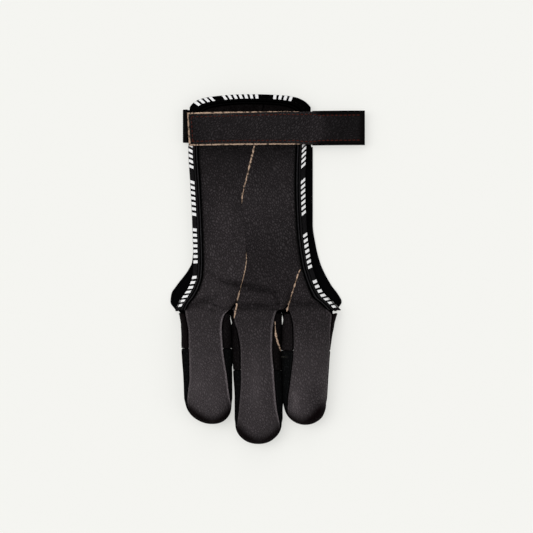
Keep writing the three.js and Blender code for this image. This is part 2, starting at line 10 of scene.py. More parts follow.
import bmesh
import bpy
import numpy as np
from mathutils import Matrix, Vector


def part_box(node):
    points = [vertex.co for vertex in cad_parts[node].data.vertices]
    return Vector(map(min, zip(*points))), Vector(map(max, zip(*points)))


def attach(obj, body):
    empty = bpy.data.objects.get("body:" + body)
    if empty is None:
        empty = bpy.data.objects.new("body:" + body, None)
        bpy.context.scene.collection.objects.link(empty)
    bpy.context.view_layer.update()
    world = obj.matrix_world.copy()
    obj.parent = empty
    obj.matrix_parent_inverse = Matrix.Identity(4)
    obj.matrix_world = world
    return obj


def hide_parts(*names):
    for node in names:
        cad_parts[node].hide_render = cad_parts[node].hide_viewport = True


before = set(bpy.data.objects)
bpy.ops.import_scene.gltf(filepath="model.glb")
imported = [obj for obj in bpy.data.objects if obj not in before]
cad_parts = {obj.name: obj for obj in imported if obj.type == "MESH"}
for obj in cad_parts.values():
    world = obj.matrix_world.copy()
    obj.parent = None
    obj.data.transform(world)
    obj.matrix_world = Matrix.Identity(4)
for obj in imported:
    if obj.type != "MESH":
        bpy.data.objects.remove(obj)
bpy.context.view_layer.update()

bl_info = {
    "name": "Archery Glove",
    "version": (1, 0, 0),
    "blender": (4, 5, 0),
    "location": "3D View > Sidebar > Glove",
    "description": "Builds a leather three-finger archery glove around its packed frame",
    "category": "Add Mesh",
}

# Hand, as in the part's source.
PALM_LENGTH = 129.4
PALM_WIDTH = 72.0
PALM_CROWN = 12.0
WRIST_CROWN = 11.4
OPEN_EDGE_TOP = 5.2
WRIST_ROUND = 7.5
KNUCKLE_BLEND = 22.0
FINGER_WIDTH = 29.4
FINGER_GAP = 1.6
MIDDLE_OFFSET = 3.4
TIP_ROUND = 12.0
SIDE_SEAM = 6.0
FINGER_RISE = 10.0
LEATHER_WALL = 1.4
STRIP_WALL = 1.2
ELASTIC_WALL = 1.2
FABRIC_WALL = 1.1
SEAM_GAP = 0.3
EDGE_GAP = 0.5
STRIP_START = 2.2
STRIP_FOOT = 2.4
TAPE_WIDTH = 5.8
TAPE_THICKNESS = 2.0
TAPE_PROUD = 0.3
RIM_WIDTH = 1.6
RIM_HEIGHT = 1.5
STRAP_LENGTH = 106.6
STRAP_WIDTH = 20.0
STRAP_THICKNESS = 1.8
STRAP_HEIGHT = 109.0
STRAP_TILT = 1.0
STRAP_SPRING = 1.5
STRAP_OVERHANG = 0.6
BAND_WIDTH = 19.8
BAND_THICKNESS = 1.4
BAND_REACH = 3.0
BAND_RISE = 2.0
PAD_CLEAR = 0.9
PAD_PROUD = 0.4
DOME_POWER = 2.2
SOLE_POWER = 4.0
PALM_POWER = 2.6
LEFT_CORNER = (0.45, 12)
RIGHT_CORNER = (0.27, 8)
SOLE_PRESS = 0.6
TONGUE_SHARE = 0.9
SEAM_AT_WRIST = 0.217
OUTER_SEAM_END = 0.2

HALF = PALM_WIDTH / 2
FINGER_HALF = FINGER_WIDTH / 2
PITCH = FINGER_WIDTH + FINGER_GAP
BACK_TOP = PALM_LENGTH - 2
WRIST_LIFT = BAND_THICKNESS + SEAM_GAP
BAND_MIDDLE = STRAP_HEIGHT - STRAP_TILT / 2 + BAND_RISE
BAND_FOOT = BAND_MIDDLE - BAND_WIDTH / 2
CORNER_Y = PALM_LENGTH - WRIST_ROUND
MM = 0.001
UP = np.array([0.0, 0.0, 1.0])


def mix(a, b, share):
    """The value that lies `share` of the way from a to b."""
    return a + (b - a) * share


def clamp(value):
    """The value held between 0 and 1."""
    return np.clip(value, 0.0, 1.0)


def smooth(value):
    """A soft step: 3t squared less 2t cubed, with t held between 0 and 1."""
    t = clamp(value)
    return t * t * (3 - 2 * t)


def bell(value):
    """A bell round 0: e to the power of minus the value squared."""
    return np.exp(-(value**2))


def bent(wave, power):
    """A sine or cosine whose size is raised to a power, with the sign it had."""
    return np.sign(wave) * np.abs(wave) ** power


def unit(vectors):
    """Vectors brought to the length 1."""
    return vectors / np.linalg.norm(vectors, axis=-1, keepdims=True)


def between(x, left, right):
    """Where x lies between two edges: -1 at the left one, 0 halfway and 1 at the right one."""
    return (2 * x - left - right) / (right - left)


def track(at, values):
    """A smooth run through a table that never swings past its rows.

    A row's slope is the harmonic mean of the slopes on its two sides, or nothing where those differ
    in sign, and one cubic with these slopes joins each pair of rows.
    """
    at, values = np.asarray(at, float), np.asarray(values, float)
    rate = np.diff(values) / np.diff(at)
    before, after = rate[:-1], rate[1:]
    alike = before * after > 0
    middle = np.where(alike, 2 * before * after / np.where(alike, before + after, 1), 0)
    slope = np.concatenate([rate[:1], middle, rate[-1:]])

    def run(place):
        place = np.asarray(place, float)
        i = np.searchsorted(at[1:-1], place, side="left")
        span = at[i + 1] - at[i]
        t = clamp((place - at[i]) / span)
        rise = values[i + 1] - values[i]
        bend = (1 - t) * slope[i] * span - t * slope[i + 1] * span
        return values[i] + rise * t + t * (1 - t) * (bend + rise * (2 * t - 1))

    return run


def columns_of(rows):
    """One track for each column of a table, against its first column."""
    table = np.array(rows, float)
    return [track(table[:, 0], table[:, k]) for k in range(1, table.shape[1])]


# Outer edges of the tape beside the open sides: share of the palm's length, then left and right
# as shares of half its width.
OPEN_LEFT, OPEN_RIGHT = columns_of([
    (0, -1.25, 1.52), (0.037, -1.19, 1.393), (0.075, -1.1, 1.25), (0.112, -1.023, 1.16),
    (0.164, -0.962, 1.083), (0.225, -0.95, 1.023), (0.398, -0.967, 0.947), (0.585, -1, 0.925),
    (0.749, -1.033, 0.942), (0.944, -1.01, 1.015), (1, -1.01, 1.015),
])
# Edges of the back panel with its rim, in the same shares.
BACK_LEFT, BACK_RIGHT = columns_of([
    (0, -1.25, 1.45), (0.037, -1.333, 1.533), (0.075, -1.317, 1.467), (0.112, -1.233, 1.367),
    (0.187, -1.033, 1.22), (0.225, -0.97, 1.167), (0.3, -0.95, 1.1), (0.4, -0.95, 1.05),
    (0.749, -0.97, 1.05), (1, -0.98, 1),
])
# The two seams: share of the palm's length, then the way from the crotch to the seam's end.
(INNER_ACROSS,) = columns_of([
    (0, 0), (0.03, 0.15), (0.1, 0.305), (0.24, 0.49), (0.36, 0.44), (0.5, 0.35),
    (0.628, 0.522), (0.74, 0.707), (1, 1.1),
])
(OUTER_ACROSS,) = columns_of([
    (0, 0), (0.03, 0.27), (0.08, 0.45), (0.13, 0.625), (0.175, 0.8), (OUTER_SEAM_END, 1),
])
# How a finger fills out from its base: share of its length, then of its rise and its side seam.
FILL_RISE, FILL_SEAM = columns_of([
    (0, 0.7, 0.66), (0.06, 0.76, 0.85), (0.16, 0.92, 1), (0.4, 1, 1), (1, 0.96, 1),
])


class Finger:
    """One finger's measures. Each row holds a share of its length, its left and right side as
    shares of half its width, and how much of each side its leather front covers."""

    def __init__(self, name, place, length, back_start, sides, rows):
        self.name = name
        self.axis = MIDDLE_OFFSET + place * PITCH
        self.length = length
        self.back_start = back_start
        self.sides = sides
        self.left, self.right, self.front_left, self.front_right = columns_of(rows)


INDEX = Finger("index", -1, 68.5, 0.34, ("outer", "inner"), [
    (0, 1.14, 1.06, 0.68, 0.98), (0.05, 1.01, 1.06, 0.755, 0.78), (0.175, 0.94, 1.11, 0.71, 0.65),
    (0.35, 0.92, 1.12, 0.708, 0.69), (0.6, 0.84, 1.15, 0.755, 0.816),
    (0.77, 0.81, 1.15, 0.876, 0.909), (0.825, 0.755, 1.12, 0.913, 0.97), (1, 0.61, 1.26, 1, 1),
])
MIDDLE = Finger("middle", 0, 80.5, 0.45, ("left", "right"), [
    (0, 1, 1.12, 0.935, 0.77), (0.075, 0.96, 1.06, 0.927, 0.705), (0.164, 0.95, 1.03, 0.783, 0.668),
    (0.3, 0.94, 1, 0.68, 0.676), (0.455, 0.92, 1.05, 0.69, 0.7), (0.657, 0.857, 1.09, 0.79, 0.73),
    (0.806, 0.857, 1.1, 0.875, 0.85), (0.85, 0.83, 1.06, 0.93, 0.93), (1, 0.845, 1.045, 1, 1),
])
RING = Finger("ring", 1, 69.0, 0.355, ("left", "outer"), [
    (0, 0.927, 1.306, 0.846, 0.6), (0.05, 0.96, 1.204, 0.74, 0.82), (0.14, 0.988, 1.1, 0.62, 0.863),
    (0.35, 1.03, 0.94, 0.542, 0.965), (0.59, 1, 0.857, 0.67, 0.966),
    (0.765, 0.98, 0.804, 0.8, 0.968), (0.826, 0.95, 0.763, 0.84, 0.98),
    (1, 0.93, 0.763, 1, 1),
])
FINGERS = (INDEX, MIDDLE, RING)


def open_left(y):
    """Outer edge of the tape on the left at height y."""
    return HALF * OPEN_LEFT(np.asarray(y) / PALM_LENGTH)


def open_right(y):
    """Outer edge of the tape on the right at height y."""
    return HALF * OPEN_RIGHT(np.asarray(y) / PALM_LENGTH)


def slope_at(edge, y):
    """How much an open edge moves across for each millimetre up."""
    place = np.clip(y, 1, PALM_LENGTH - 1)
    return (edge(place + 1) - edge(place - 1)) / 2


def inside_left(y, inset):
    """X of a place `inset` in from the left open edge, square to it."""
    return open_left(y) + inset * np.hypot(1, slope_at(open_left, y))


def inside_right(y, inset):
    """X of a place `inset` in from the right open edge, square to it."""
    return open_right(y) - inset * np.hypot(1, slope_at(open_right, y))


def crotch(a, b):
    """A crotch lies halfway between the facing sides of two fingers."""
    return (a.axis + FINGER_HALF * a.right(0) + b.axis - FINGER_HALF * b.left(0)) / 2


def inner_seam(y):
    """X of the seam between index and middle."""
    return mix(crotch(INDEX, MIDDLE), HALF * SEAM_AT_WRIST, INNER_ACROSS(y / PALM_LENGTH))


def outer_seam(y):
    """X of the seam between middle and ring."""
    end = inside_right(OUTER_SEAM_END * PALM_LENGTH, TAPE_WIDTH)
    return mix(crotch(MIDDLE, RING), end, OUTER_ACROSS(y / PALM_LENGTH))


def sides_at(finger, y):
    """Left and right side of a finger's strip of the glove at y, on the finger and up the palm."""
    y = np.asarray(y, float)
    at = -y / finger.length
    palm = np.maximum(y, 0.0)
    below_seam_end = palm < OUTER_SEAM_END * PALM_LENGTH
    if finger is INDEX:
        up_left, up_right = open_left(palm), inner_seam(palm)
    elif finger is MIDDLE:
        up_left = inner_seam(palm)
        up_right = np.where(below_seam_end, outer_seam(palm), open_right(palm))
    else:
        up_left, up_right = outer_seam(palm), open_right(palm)
    left = np.where(y < 0, finger.axis - FINGER_HALF * finger.left(at), up_left)
    right = np.where(y < 0, finger.axis + FINGER_HALF * finger.right(at), up_right)
    return left, right


HIDDEN_SEAM = (36.0, 62.5)  # stretch of the inner seam that is sewn flat under the pressed rings


def seam_open(y):
    """1 where the inner seam gapes, nearly 0 along the stretch that is sewn flat."""
    low, high = HIDDEN_SEAM
    return 1 - 0.96 * smooth((y - low + 1) / 2) * smooth((high + 1 - y) / 2)


def front_at(finger, y):
    """Left and right edge of the leather front at y."""
    y = np.asarray(y, float)
    left, right = sides_at(finger, y)
    at = -y / finger.length
    centre, reach = (left + right) / 2, (right - left) / 2
    inset = TAPE_WIDTH + SEAM_GAP
    at_seam = SEAM_GAP / 2 * seam_open(y)
    palm_left = inside_left(y, inset) if finger is INDEX else left + at_seam
    palm_right = inside_right(y, inset) if finger is not INDEX else right - at_seam
    if finger is MIDDLE:
        palm_right = np.where(y < OUTER_SEAM_END * PALM_LENGTH, right - at_seam, palm_right)
    low = np.where(y < 0, centre - reach * finger.front_left(at), palm_left)
    high = np.where(y < 0, centre + reach * finger.front_right(at), palm_right)
    return low, high


def closing(finger, y):
    """How much a finger has closed towards its tip, a quarter ellipse: 1 along it, 0 at its end."""
    into = clamp((-np.asarray(y) - (finger.length - TIP_ROUND)) / TIP_ROUND)
    return np.sqrt(1 - into * into)


# Broad creases, as in the part's source: place and half length as shares of half the palm's
# width, lean, then depth and breadth as shares of the leather's wall.
CREASES = [
    (-0.02, 0.4, 0.46, -0.18, 0.5, 1.2),
    (0.02, 0.35, 0.42, -0.18, 0.35, 1.0),
    (0.1, 0.06, 0.36, 0, 0.7, 1.5),
    (-0.86, 0.12, 0.3, 0.35, 0.6, 1.5),
    (0.92, 0.1, 0.3, -0.1, 0.6, 1.5),
]


def crease_depth(x, y):
    """Depth of the broad creases: each is a bell across its line that dies away at its ends."""
    depth = np.zeros(np.broadcast(x, y).shape)
    for at_x, at_y, reach, tilt, deep, broad in CREASES:
        along = (x - at_x * HALF) / (reach * HALF)
        off = y - at_y * HALF - tilt * (x - at_x * HALF)
        dent = np.exp(-((off / (broad * LEATHER_WALL)) ** 2) - along**4)
        depth = depth + deep * LEATHER_WALL * dent
    return depth


def palm_top(x, y):
    """Height of the palm's leather without the fingers: a flat-topped arch between the open sides."""
    left, right = open_left(y), open_right(y)
    out = clamp(np.abs(between(x, left, right)))
    crown = mix(PALM_CROWN, WRIST_CROWN, smooth(1.5 * y / PALM_LENGTH - 0.2))
    return OPEN_EDGE_TOP + (crown - OPEN_EDGE_TOP) * (1 - out**PALM_POWER)


def front_top(finger, x, y):
    """Height of the leather face: a dome across each finger that dies away into the palm."""
    at = np.maximum(0, -y / finger.length)
    left, right = sides_at(finger, y)
    out = clamp(np.abs(between(x, left, right)))
    soften = smooth(y / (KNUCKLE_BLEND / 2))
    power = mix(DOME_POWER, 2, soften)
    dome = (1 - out**power) ** mix(1 / DOME_POWER, 1, soften)
    rise = FINGER_RISE * FILL_RISE(at) * closing(finger, y)
    of_finger = SIDE_SEAM * FILL_SEAM(at) + SEAM_GAP / 2 + rise * dome
    top = mix(of_finger, palm_top(x, np.maximum(y, 0)), smooth(y / KNUCKLE_BLEND))
    return top - crease_depth(x, y) * closing(finger, y)


def section(finger, y, angle):
    """Points round a finger's section: angle 0 is the top, a quarter turn the right side.

    The upper half is a superellipse, the lower one a flatter one that the ground presses level.
    """
    y, angle = np.broadcast_arrays(np.asarray(y, float), np.asarray(angle, float))
    at = np.maximum(0, -y / finger.length)
    left, right = sides_at(finger, y)
    close = closing(finger, y)
    lower = np.cos(angle) < 0
    power = 2 / np.where(lower, SOLE_POWER, DOME_POWER)
    out = bent(np.sin(angle), power)
    up = np.abs(np.cos(angle)) ** power * close
    seam = SIDE_SEAM * FILL_SEAM(at) - SEAM_GAP / 2
    x = (left + right) / 2 + (right - left) / 2 * close * out
    z = np.where(lower, seam - (seam + SOLE_PRESS) * up, seam + FINGER_RISE * FILL_RISE(at) * up)
    return np.stack([x, y, np.maximum(0, z)], -1)


def angle_at(share):
    """The angle at which a section reaches a share of its half width."""
    return np.sign(share) * np.arcsin(clamp(np.abs(share)) ** (DOME_POWER / 2))


def low_angle(finger, y, height):
    """The angle at which the underside of a section reaches a height."""
    seam = SIDE_SEAM * FILL_SEAM(np.maximum(0, -y / finger.length)) - SEAM_GAP / 2
    down = clamp((seam - height) / (seam + SOLE_PRESS))
    return np.arccos(-(down ** (SOLE_POWER / 2)))


def corner_fall(share):
    """How far the wrist edge falls back: a bow and a tight turn, from -1 to 1 across the palm."""
    bow, power = (np.where(share < 0, a, b) for a, b in zip(LEFT_CORNER, RIGHT_CORNER))
    return WRIST_ROUND * mix(np.abs(share) ** power, share * share, bow)


def near_wrist(y):
    """0 in the palm, 1 at the wrist edge."""
    return smooth((y / PALM_LENGTH - 0.8) / 0.15)


def inside_share(x, y):
    """Share of the way from the middle of the palm to its open edge inside the tape: -1 is the
    left edge and 1 the right one."""
    left, right = inside_left(y, TAPE_WIDTH), inside_right(y, TAPE_WIDTH)
    return np.clip(between(x, left, right), -1, 1)


def across_front(finger, y, u):
    """Place across a front at y, at even angles: u runs from its left edge to its right one."""
    left, right = sides_at(finger, y)
    low, high = front_at(finger, y)
    centre, reach = (left + right) / 2, (right - left) / 2
    angle = mix(angle_at((low - centre) / reach), angle_at((high - centre) / reach), u)
    return centre + reach * bent(np.sin(angle), 2 / DOME_POWER)


def front_points(finger, level, u):
    """Points of a leather front, with the place across it before its tip closes."""
    guess = across_front(finger, level, u)
    y = level - near_wrist(level) * corner_fall(inside_share(guess, np.maximum(level, 0)))
    across = across_front(finger, y, u)
    left, right = sides_at(finger, y)
    x = mix((left + right) / 2, across, closing(finger, y))
    return np.stack(np.broadcast_arrays(x, y, front_top(finger, across, y)), -1)


def back_level(y):
    """Height under the back panel, which climbs over the wrist band."""
    return WRIST_LIFT * smooth((y - BAND_FOOT + 12) / 10)


def rim_edge(side, y):
    """Outer edge of the back with its rim."""
    return HALF * (BACK_LEFT if side == "left" else BACK_RIGHT)(np.asarray(y) / PALM_LENGTH)


def rim_slope(side, y):
    """How much the rim's edge moves across for each millimetre up."""
    return rim_edge(side, y + 0.5) - rim_edge(side, y - 0.5)


def panel_edge(side, y):
    """The panel's own edge, sewn into its rim."""
    inset = RIM_WIDTH * 0.6 * np.hypot(1, rim_slope(side, y))
    return rim_edge(side, y) + (inset if side == "left" else -inset)


STRAP_LEFT = float(open_left(STRAP_HEIGHT)) - STRAP_OVERHANG
STRAP_RIGHT = STRAP_LEFT + STRAP_LENGTH
PALM_RIGHT = float(open_right(STRAP_HEIGHT))
PAD_LEFT = PAD_CLEAR + max(float(open_right(STRAP_HEIGHT + k * STRAP_WIDTH / 2)) for k in (-1, 0, 1))

# Where the glove's own net lies in the frame: matched on two nodes.
SHIFT = np.array([
    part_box("strap")[1].x / MM - STRAP_RIGHT,
    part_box("middle_front")[0].y / MM + MIDDLE.length,
    0.0,
])


def strap_base(x):
    """Height under the strap: the tape's highest level below it, then a bow up to its free end."""
    x = np.asarray(x, float)
    levels = []
    for k in (-0.5, 0, 0.5):
        y = STRAP_HEIGHT + k * STRAP_WIDTH
        levels.append(palm_top(np.clip(x, open_left(y), open_right(y)), y))
    free = clamp((x - PALM_RIGHT) / (STRAP_RIGHT - PALM_RIGHT))
    bow = STRAP_SPRING * np.sin(np.pi * free) - 0.6 * free * free
    return np.max(levels, axis=0) + TAPE_PROUD + SEAM_GAP + bow


def strap_y(x):
    """Middle line of the strap, which rises towards its free end."""
    return STRAP_HEIGHT + STRAP_TILT * ((x - STRAP_LEFT) / STRAP_LENGTH - 0.5)


LUMP_CELLS = 64  # cells of the random net along each side, after which it repeats


def lumps(x, y, size, seed):
    """Soft random levels between -1 and 1: random heights at the corners of a square net with
    cells of `size`, joined by soft steps."""
    net = np.random.default_rng(seed).uniform(-1, 1, (LUMP_CELLS, LUMP_CELLS))
    start = 10 * LUMP_CELLS
    u, v = np.asarray(x) / size + start, np.asarray(y) / size + start
    i, j = np.floor(u).astype(int), np.floor(v).astype(int)
    s, t = smooth(u - i), smooth(v - j)

    def corner(a, b):
        return net[(i + a) % LUMP_CELLS, (j + b) % LUMP_CELLS]

    return mix(mix(corner(0, 0), corner(1, 0), s), mix(corner(0, 1), corner(1, 1), s), t)


# Fine wrinkles of the leather: both ends, depth and breadth, all in millimetres.
WRINKLES = [
    (-18.0, 16.8, -1.0, 13.4, 0.5, 0.6),
    (-3.0, 13.6, 15.0, 10.2, 0.6, 0.6),
    (-10.0, 12.6, 10.0, 10.4, 0.35, 0.5),
    (-28.0, 24.4, -15.0, 16.4, 0.35, 0.7),
    (-24.0, 20.5, -15.0, 12.8, 0.22, 0.6),
    (14.4, 11.4, 18.4, 1.6, 0.95, 1.2),
    (-9.4, 1.6, 4.0, 3.0, 0.5, 0.7),
    (2.0, 3.0, 17.6, 0.2, 0.5, 0.7),
    (-6.0, 0.3, 11.0, 0.2, 0.25, 0.6),
    (22.0, 2.4, 41.0, 3.4, 0.45, 0.7),
    (24.0, 0.4, 36.0, 1.2, 0.28, 0.6),
    (-30.0, 6.4, -13.6, -0.8, 0.45, 0.7),
    (-34.0, 2.2, -15.0, -2.2, 0.35, 0.7),
    (-28.0, 96.4, 28.0, 96.6, 0.4, 0.7),
    (-24.0, 94.2, 27.0, 94.6, 0.3, 0.6),
    (6.0, 91.8, 28.0, 93.0, 0.18, 0.6),
    (44.4, 4.0, 47.5, -1.0, 0.35, 0.6),
    (46.6, 6.0, 49.6, 1.6, 0.3, 0.6),
]


def wrinkle_depth(x, y):
    """Depth of the fine wrinkles: a bell across each wavering line that fades out at its ends."""
    depth = np.zeros(np.broadcast(x, y).shape)
    for k, (ax, ay, bx, by, deep, broad) in enumerate(WRINKLES):
        length = math.hypot(bx - ax, by - ay)
        ux, uy = (bx - ax) / length, (by - ay) / length
        along = ((x - ax) * ux + (y - ay) * uy) / length
        off = (y - ay) * ux - (x - ax) * uy + 0.55 * lumps(x + 9 * k, y, 4.5, 11 + k)
        ends = bell(np.maximum(np.abs(along - 0.5) - 0.36, 0) / 0.1)
        strength = deep * (1 + 0.35 * lumps(x, y + 7 * k, 3.0, 31 + k))
        depth = depth + strength * ends * bell(off / broad)
    return depth


RING_MARK = (-2.4, 48.6)  # middle of the plain pressed rings on the palm
RING_RADII = (10.6, 6.4, 2.4)


def pressed_rings(x, y):
    """Depth of the plain rings pressed into the palm: a narrow bell at each radius."""
    far = np.hypot(x - RING_MARK[0], y - RING_MARK[1])
    return 0.34 * sum(bell((far - radius) / 0.5) for radius in RING_RADII)


def leather_relief(x, y):
    """Height that the leather's own life adds: wrinkles, pressed rings, a scuff and soft lumps."""
    slow = 0.16 * lumps(x, y, 9.0, 1) + 0.1 * lumps(x, y, 4.6, 2)
    lean = (x - 0.5 * y, y + 0.5 * x)
    pebble = 0.05 * lumps(lean[0], lean[1] / 1.5, 1.25, 3)
    scuff_along, scuff_off = (x - 21.6) + (y - 68.4), (x - 21.6) - (y - 68.4)
    scuff = 0.2 * np.exp(-((scuff_along / 1.2) ** 2) - (scuff_off / 0.5) ** 2)
    return slow + pebble + scuff - wrinkle_depth(x, y) - pressed_rings(x, y)


def clustered(count, length, radius):
    """Places from 0 to 1, even but for a few close ones within `radius` of each end."""
    near = np.array([0, 0.06, 0.2, 0.45, 0.8]) * radius / length
    middle = np.linspace(radius / length, 1 - radius / length, count)
    return np.concatenate([near, middle, 1 - near[::-1]])


def steps_of(grid, axis):
    """Distance along a grid's lines from their start, and to their end."""
    gaps = np.linalg.norm(np.diff(grid, axis=axis), axis=-1)
    start = np.zeros_like(np.take(gaps, [0], axis=axis))
    run = np.concatenate([start, np.cumsum(gaps, axis=axis)], axis=axis)
    return run, np.take(run, [-1], axis=axis) - run


def grid_normals(grid, tip=None):
    """Unit normals of a grid of points: the cross product of its two directions at each one."""
    across, along = np.gradient(grid, axis=1), np.gradient(grid, axis=0)
    normal = np.cross(along, across)
    length = np.linalg.norm(normal, axis=-1, keepdims=True)
    normal = normal / np.where(length > 1e-12, length, 1)
    if tip is not None:
        normal[-1] = tip
    return normal


def rounded(distance, radius):
    """How far a rounded edge falls at a distance from it: a quarter circle."""
    into = clamp(1 - distance / radius)
    return radius * (1 - np.sqrt(1 - into * into))


def shell_faces(rows, columns):
    """Four-cornered faces of an outer sheet, of an inner one turned round, and of their rim."""
    grid = np.arange(rows * columns).reshape(rows, columns)
    corners = [grid[:-1, :-1], grid[1:, :-1], grid[1:, 1:], grid[:-1, 1:]]
    front = np.stack(corners, -1).reshape(-1, 4)
    back = front[:, ::-1] + grid.size
    border = np.concatenate([grid[0], grid[1:, -1], grid[-1, -2::-1], grid[-2:0:-1, 0]])
    after = np.roll(border, -1)
    rim = np.stack([border, after, after + grid.size, border + grid.size], -1)
    return np.concatenate([front, back, rim])


def tube_faces(rings, sides):
    """Faces of a tube of `rings` rings of an even number of points, each end closed by a row of
    four-cornered faces across it."""
    grid = np.arange(rings * sides).reshape(rings, sides)
    after = np.roll(grid, -1, axis=1)
    wall = np.stack([grid[:-1], after[:-1], after[1:], grid[1:]], -1).reshape(-1, 4)
    k = np.arange(sides // 2 - 1)
    cap = np.stack([k, k + 1, sides - 2 - k, sides - 1 - k], -1)
    return np.concatenate([wall, cap[:, ::-1], cap + (rings - 1) * sides])


def turned_out(points, faces):
    """The faces, turned round where the volume they enclose comes out negative."""
    a, b, c, d = (points[faces[:, k]] for k in range(4))
    volume = (a * np.cross(b, c)).sum() + (a * np.cross(c, d)).sum()
    return faces[:, ::-1] if volume < 0 else faces


def mesh_piece(name, points, faces, finish, nodes=(), uv=None, marks=None, crisp=55):
    """Puts millimetre points and four-cornered faces into one mesh in the frame's metres.

    Points that coincide are merged, so poles and seams are closed. `uv` is one pair of millimetres
    for each point and `marks` are named values, one for each point. `nodes` are the nodes that the
    piece stands for, and its edges look sharp from `crisp` degrees on.
    """
    faces = turned_out(points, faces)
    mesh = bpy.data.meshes.new(name)
    mesh.vertices.add(len(points))
    mesh.vertices.foreach_set("co", ((points + SHIFT) * MM).astype(np.float32).ravel())
    mesh.loops.add(faces.size)
    mesh.loops.foreach_set("vertex_index", faces.astype(np.int32).ravel())
    mesh.polygons.add(len(faces))
    mesh.polygons.foreach_set("loop_start", np.arange(0, faces.size, 4, dtype=np.int32))
    mesh.polygons.foreach_set("loop_total", np.full(len(faces), 4, dtype=np.int32))
    if uv is not None:
        layer = mesh.uv_layers.new(name="UVMap")
        layer.data.foreach_set("uv", (uv[faces.ravel()] * MM).astype(np.float32).ravel())
    for key, values in (marks or {}).items():
        attribute = mesh.attributes.new(key, "FLOAT", "POINT")
        attribute.data.foreach_set("value", np.asarray(values, np.float32).ravel())
    mesh.update(calc_edges=True)
    mesh.validate()
    merge_doubles(mesh)
    mesh.polygons.foreach_set("use_smooth", np.ones(len(mesh.polygons), bool))
    mesh.set_sharp_from_angle(angle=math.radians(crisp))
    mesh.materials.append(finish_of(finish))
    made = bpy.data.objects.new(name, mesh)
    bpy.context.scene.collection.objects.link(made)
    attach(made, "root")
    if nodes:
        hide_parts(*nodes)
    return made


SAME_PLACE = 1e-7  # metres between points that are taken as one
NO_LENGTH = 1e-8  # metres of an edge that is taken away


def merge_doubles(mesh):
    """Merges the points of a mesh that coincide, and takes away its edges without length."""
    work = bmesh.new()
    work.from_mesh(mesh)
    bmesh.ops.remove_doubles(work, verts=work.verts, dist=SAME_PLACE)
    bmesh.ops.dissolve_degenerate(work, edges=work.edges, dist=NO_LENGTH)
    work.to_mesh(mesh)
    work.free()


def shell_piece(name, outer, wall, finish, nodes=(), tip=None, under=False, soft=0.5,
                relief=None, marks=None):
    """A closed wall whose outer face is a grid of points.

    The inner face lies `wall` behind it, or straight under it where `under` is set. The cut
    edges are rounded by `soft`, one radius or a grid of them. `relief` is a height added along
    the normal, and `marks` are values for the finish.
    """
    ahead = grid_normals(outer, tip)
    behind = np.broadcast_to(UP, outer.shape) if under else ahead
    inner = outer - behind * wall
    across = steps_of(outer, 1)
    along = steps_of(outer, 0)
    edge = np.minimum(*across)
    if tip is not None:
        edge = edge + soft * (1 - clamp((across[0] + across[1]) / (4 * soft)))
    edge = np.minimum(edge, along[0] if tip is not None else np.minimum(*along))
    drop = rounded(edge, soft)
    lift = 0 if relief is None else relief
    face = outer + ahead * (lift - drop)[..., None]
    lining = inner + behind * (drop * 0.4)[..., None]
    points = np.concatenate([face.reshape(-1, 3), lining.reshape(-1, 3)])
    uv = np.stack([across[0], along[0]], -1).reshape(-1, 2)
    values = {"edge": edge, **(marks or {})}
    doubled = {key: np.tile(np.broadcast_to(v, edge.shape).ravel(), 2) for key, v in values.items()}
    faces = shell_faces(*outer.shape[:2])
    return mesh_piece(name, points, faces, finish, nodes, np.tile(uv, (2, 1)), doubled)


def tube_piece(name, rings, finish, nodes=()):
    """A closed bar from an array of rings of points, with its own UV round and along it."""
    uv = np.stack([steps_of(rings, 1)[0], steps_of(rings, 0)[0]], -1).reshape(-1, 2)
    return mesh_piece(name, rings.reshape(-1, 3), tube_faces(*rings.shape[:2]), finish, nodes, uv)


def repeated(faces, count, size):
    """The faces of one small shape, again for each of `count` shapes of `size` points."""
    return (faces[None] + (np.arange(count) * size)[:, None, None]).reshape(-1, 4)


def stitch_piece(name, middles, ways, ups, finish, length, thickness):
    """Stitches as one mesh: for each a short rounded bar along `ways`, sunk by a third.

    Each is five rings of eight points, whose radii follow a half circle at both ends.
    """
    around = np.linspace(0, 2 * np.pi, 8, endpoint=False)
    place = np.array([-1, -0.82, 0, 0.82, 1]) * length / 2
    radius = np.array([0.35, 0.85, 1, 0.85, 0.35]) * thickness / 2
    side = np.cross(ways, ups)
    lift = np.array([-0.3, 0, 0.15, 0, -0.3]) * thickness
    rings = (
        middles[:, None, None]
        + ways[:, None, None] * place[None, :, None, None]
        + side[:, None, None] * (radius[:, None] * np.cos(around))[None, :, :, None]
        + ups[:, None, None] * (radius[:, None] * np.sin(around) + lift[:, None])[None, :, :, None]
    )
    faces = repeated(tube_faces(5, 8), len(middles), 5 * 8)
    return mesh_piece(name, rings.reshape(-1, 3), faces, finish)


def plate_piece(name, tops, drop, finish):
    """Small plates as one mesh: each top is a grid of points, and its underside lies `drop` lower."""
    count, rows, columns = tops.shape[:3]
    both = np.stack([tops, tops - UP * drop], 1).reshape(-1, 3)
    faces = repeated(shell_faces(rows, columns), count, 2 * rows * columns)
    return mesh_piece(name, both, faces, finish, crisp=30)


# Sizes and colours


def length_property(name, words, value):
    """A length in metres that a user can change."""
    return bpy.props.FloatProperty(
        name=name, description=words, default=value, min=0, subtype="DISTANCE", unit="LENGTH"
    )


def colour_property(name, words, value):
    """A colour that a user can change."""
    return bpy.props.FloatVectorProperty(
        name=name, description=words, default=(*value, 1), size=4, min=0, max=1, subtype="COLOR"
    )


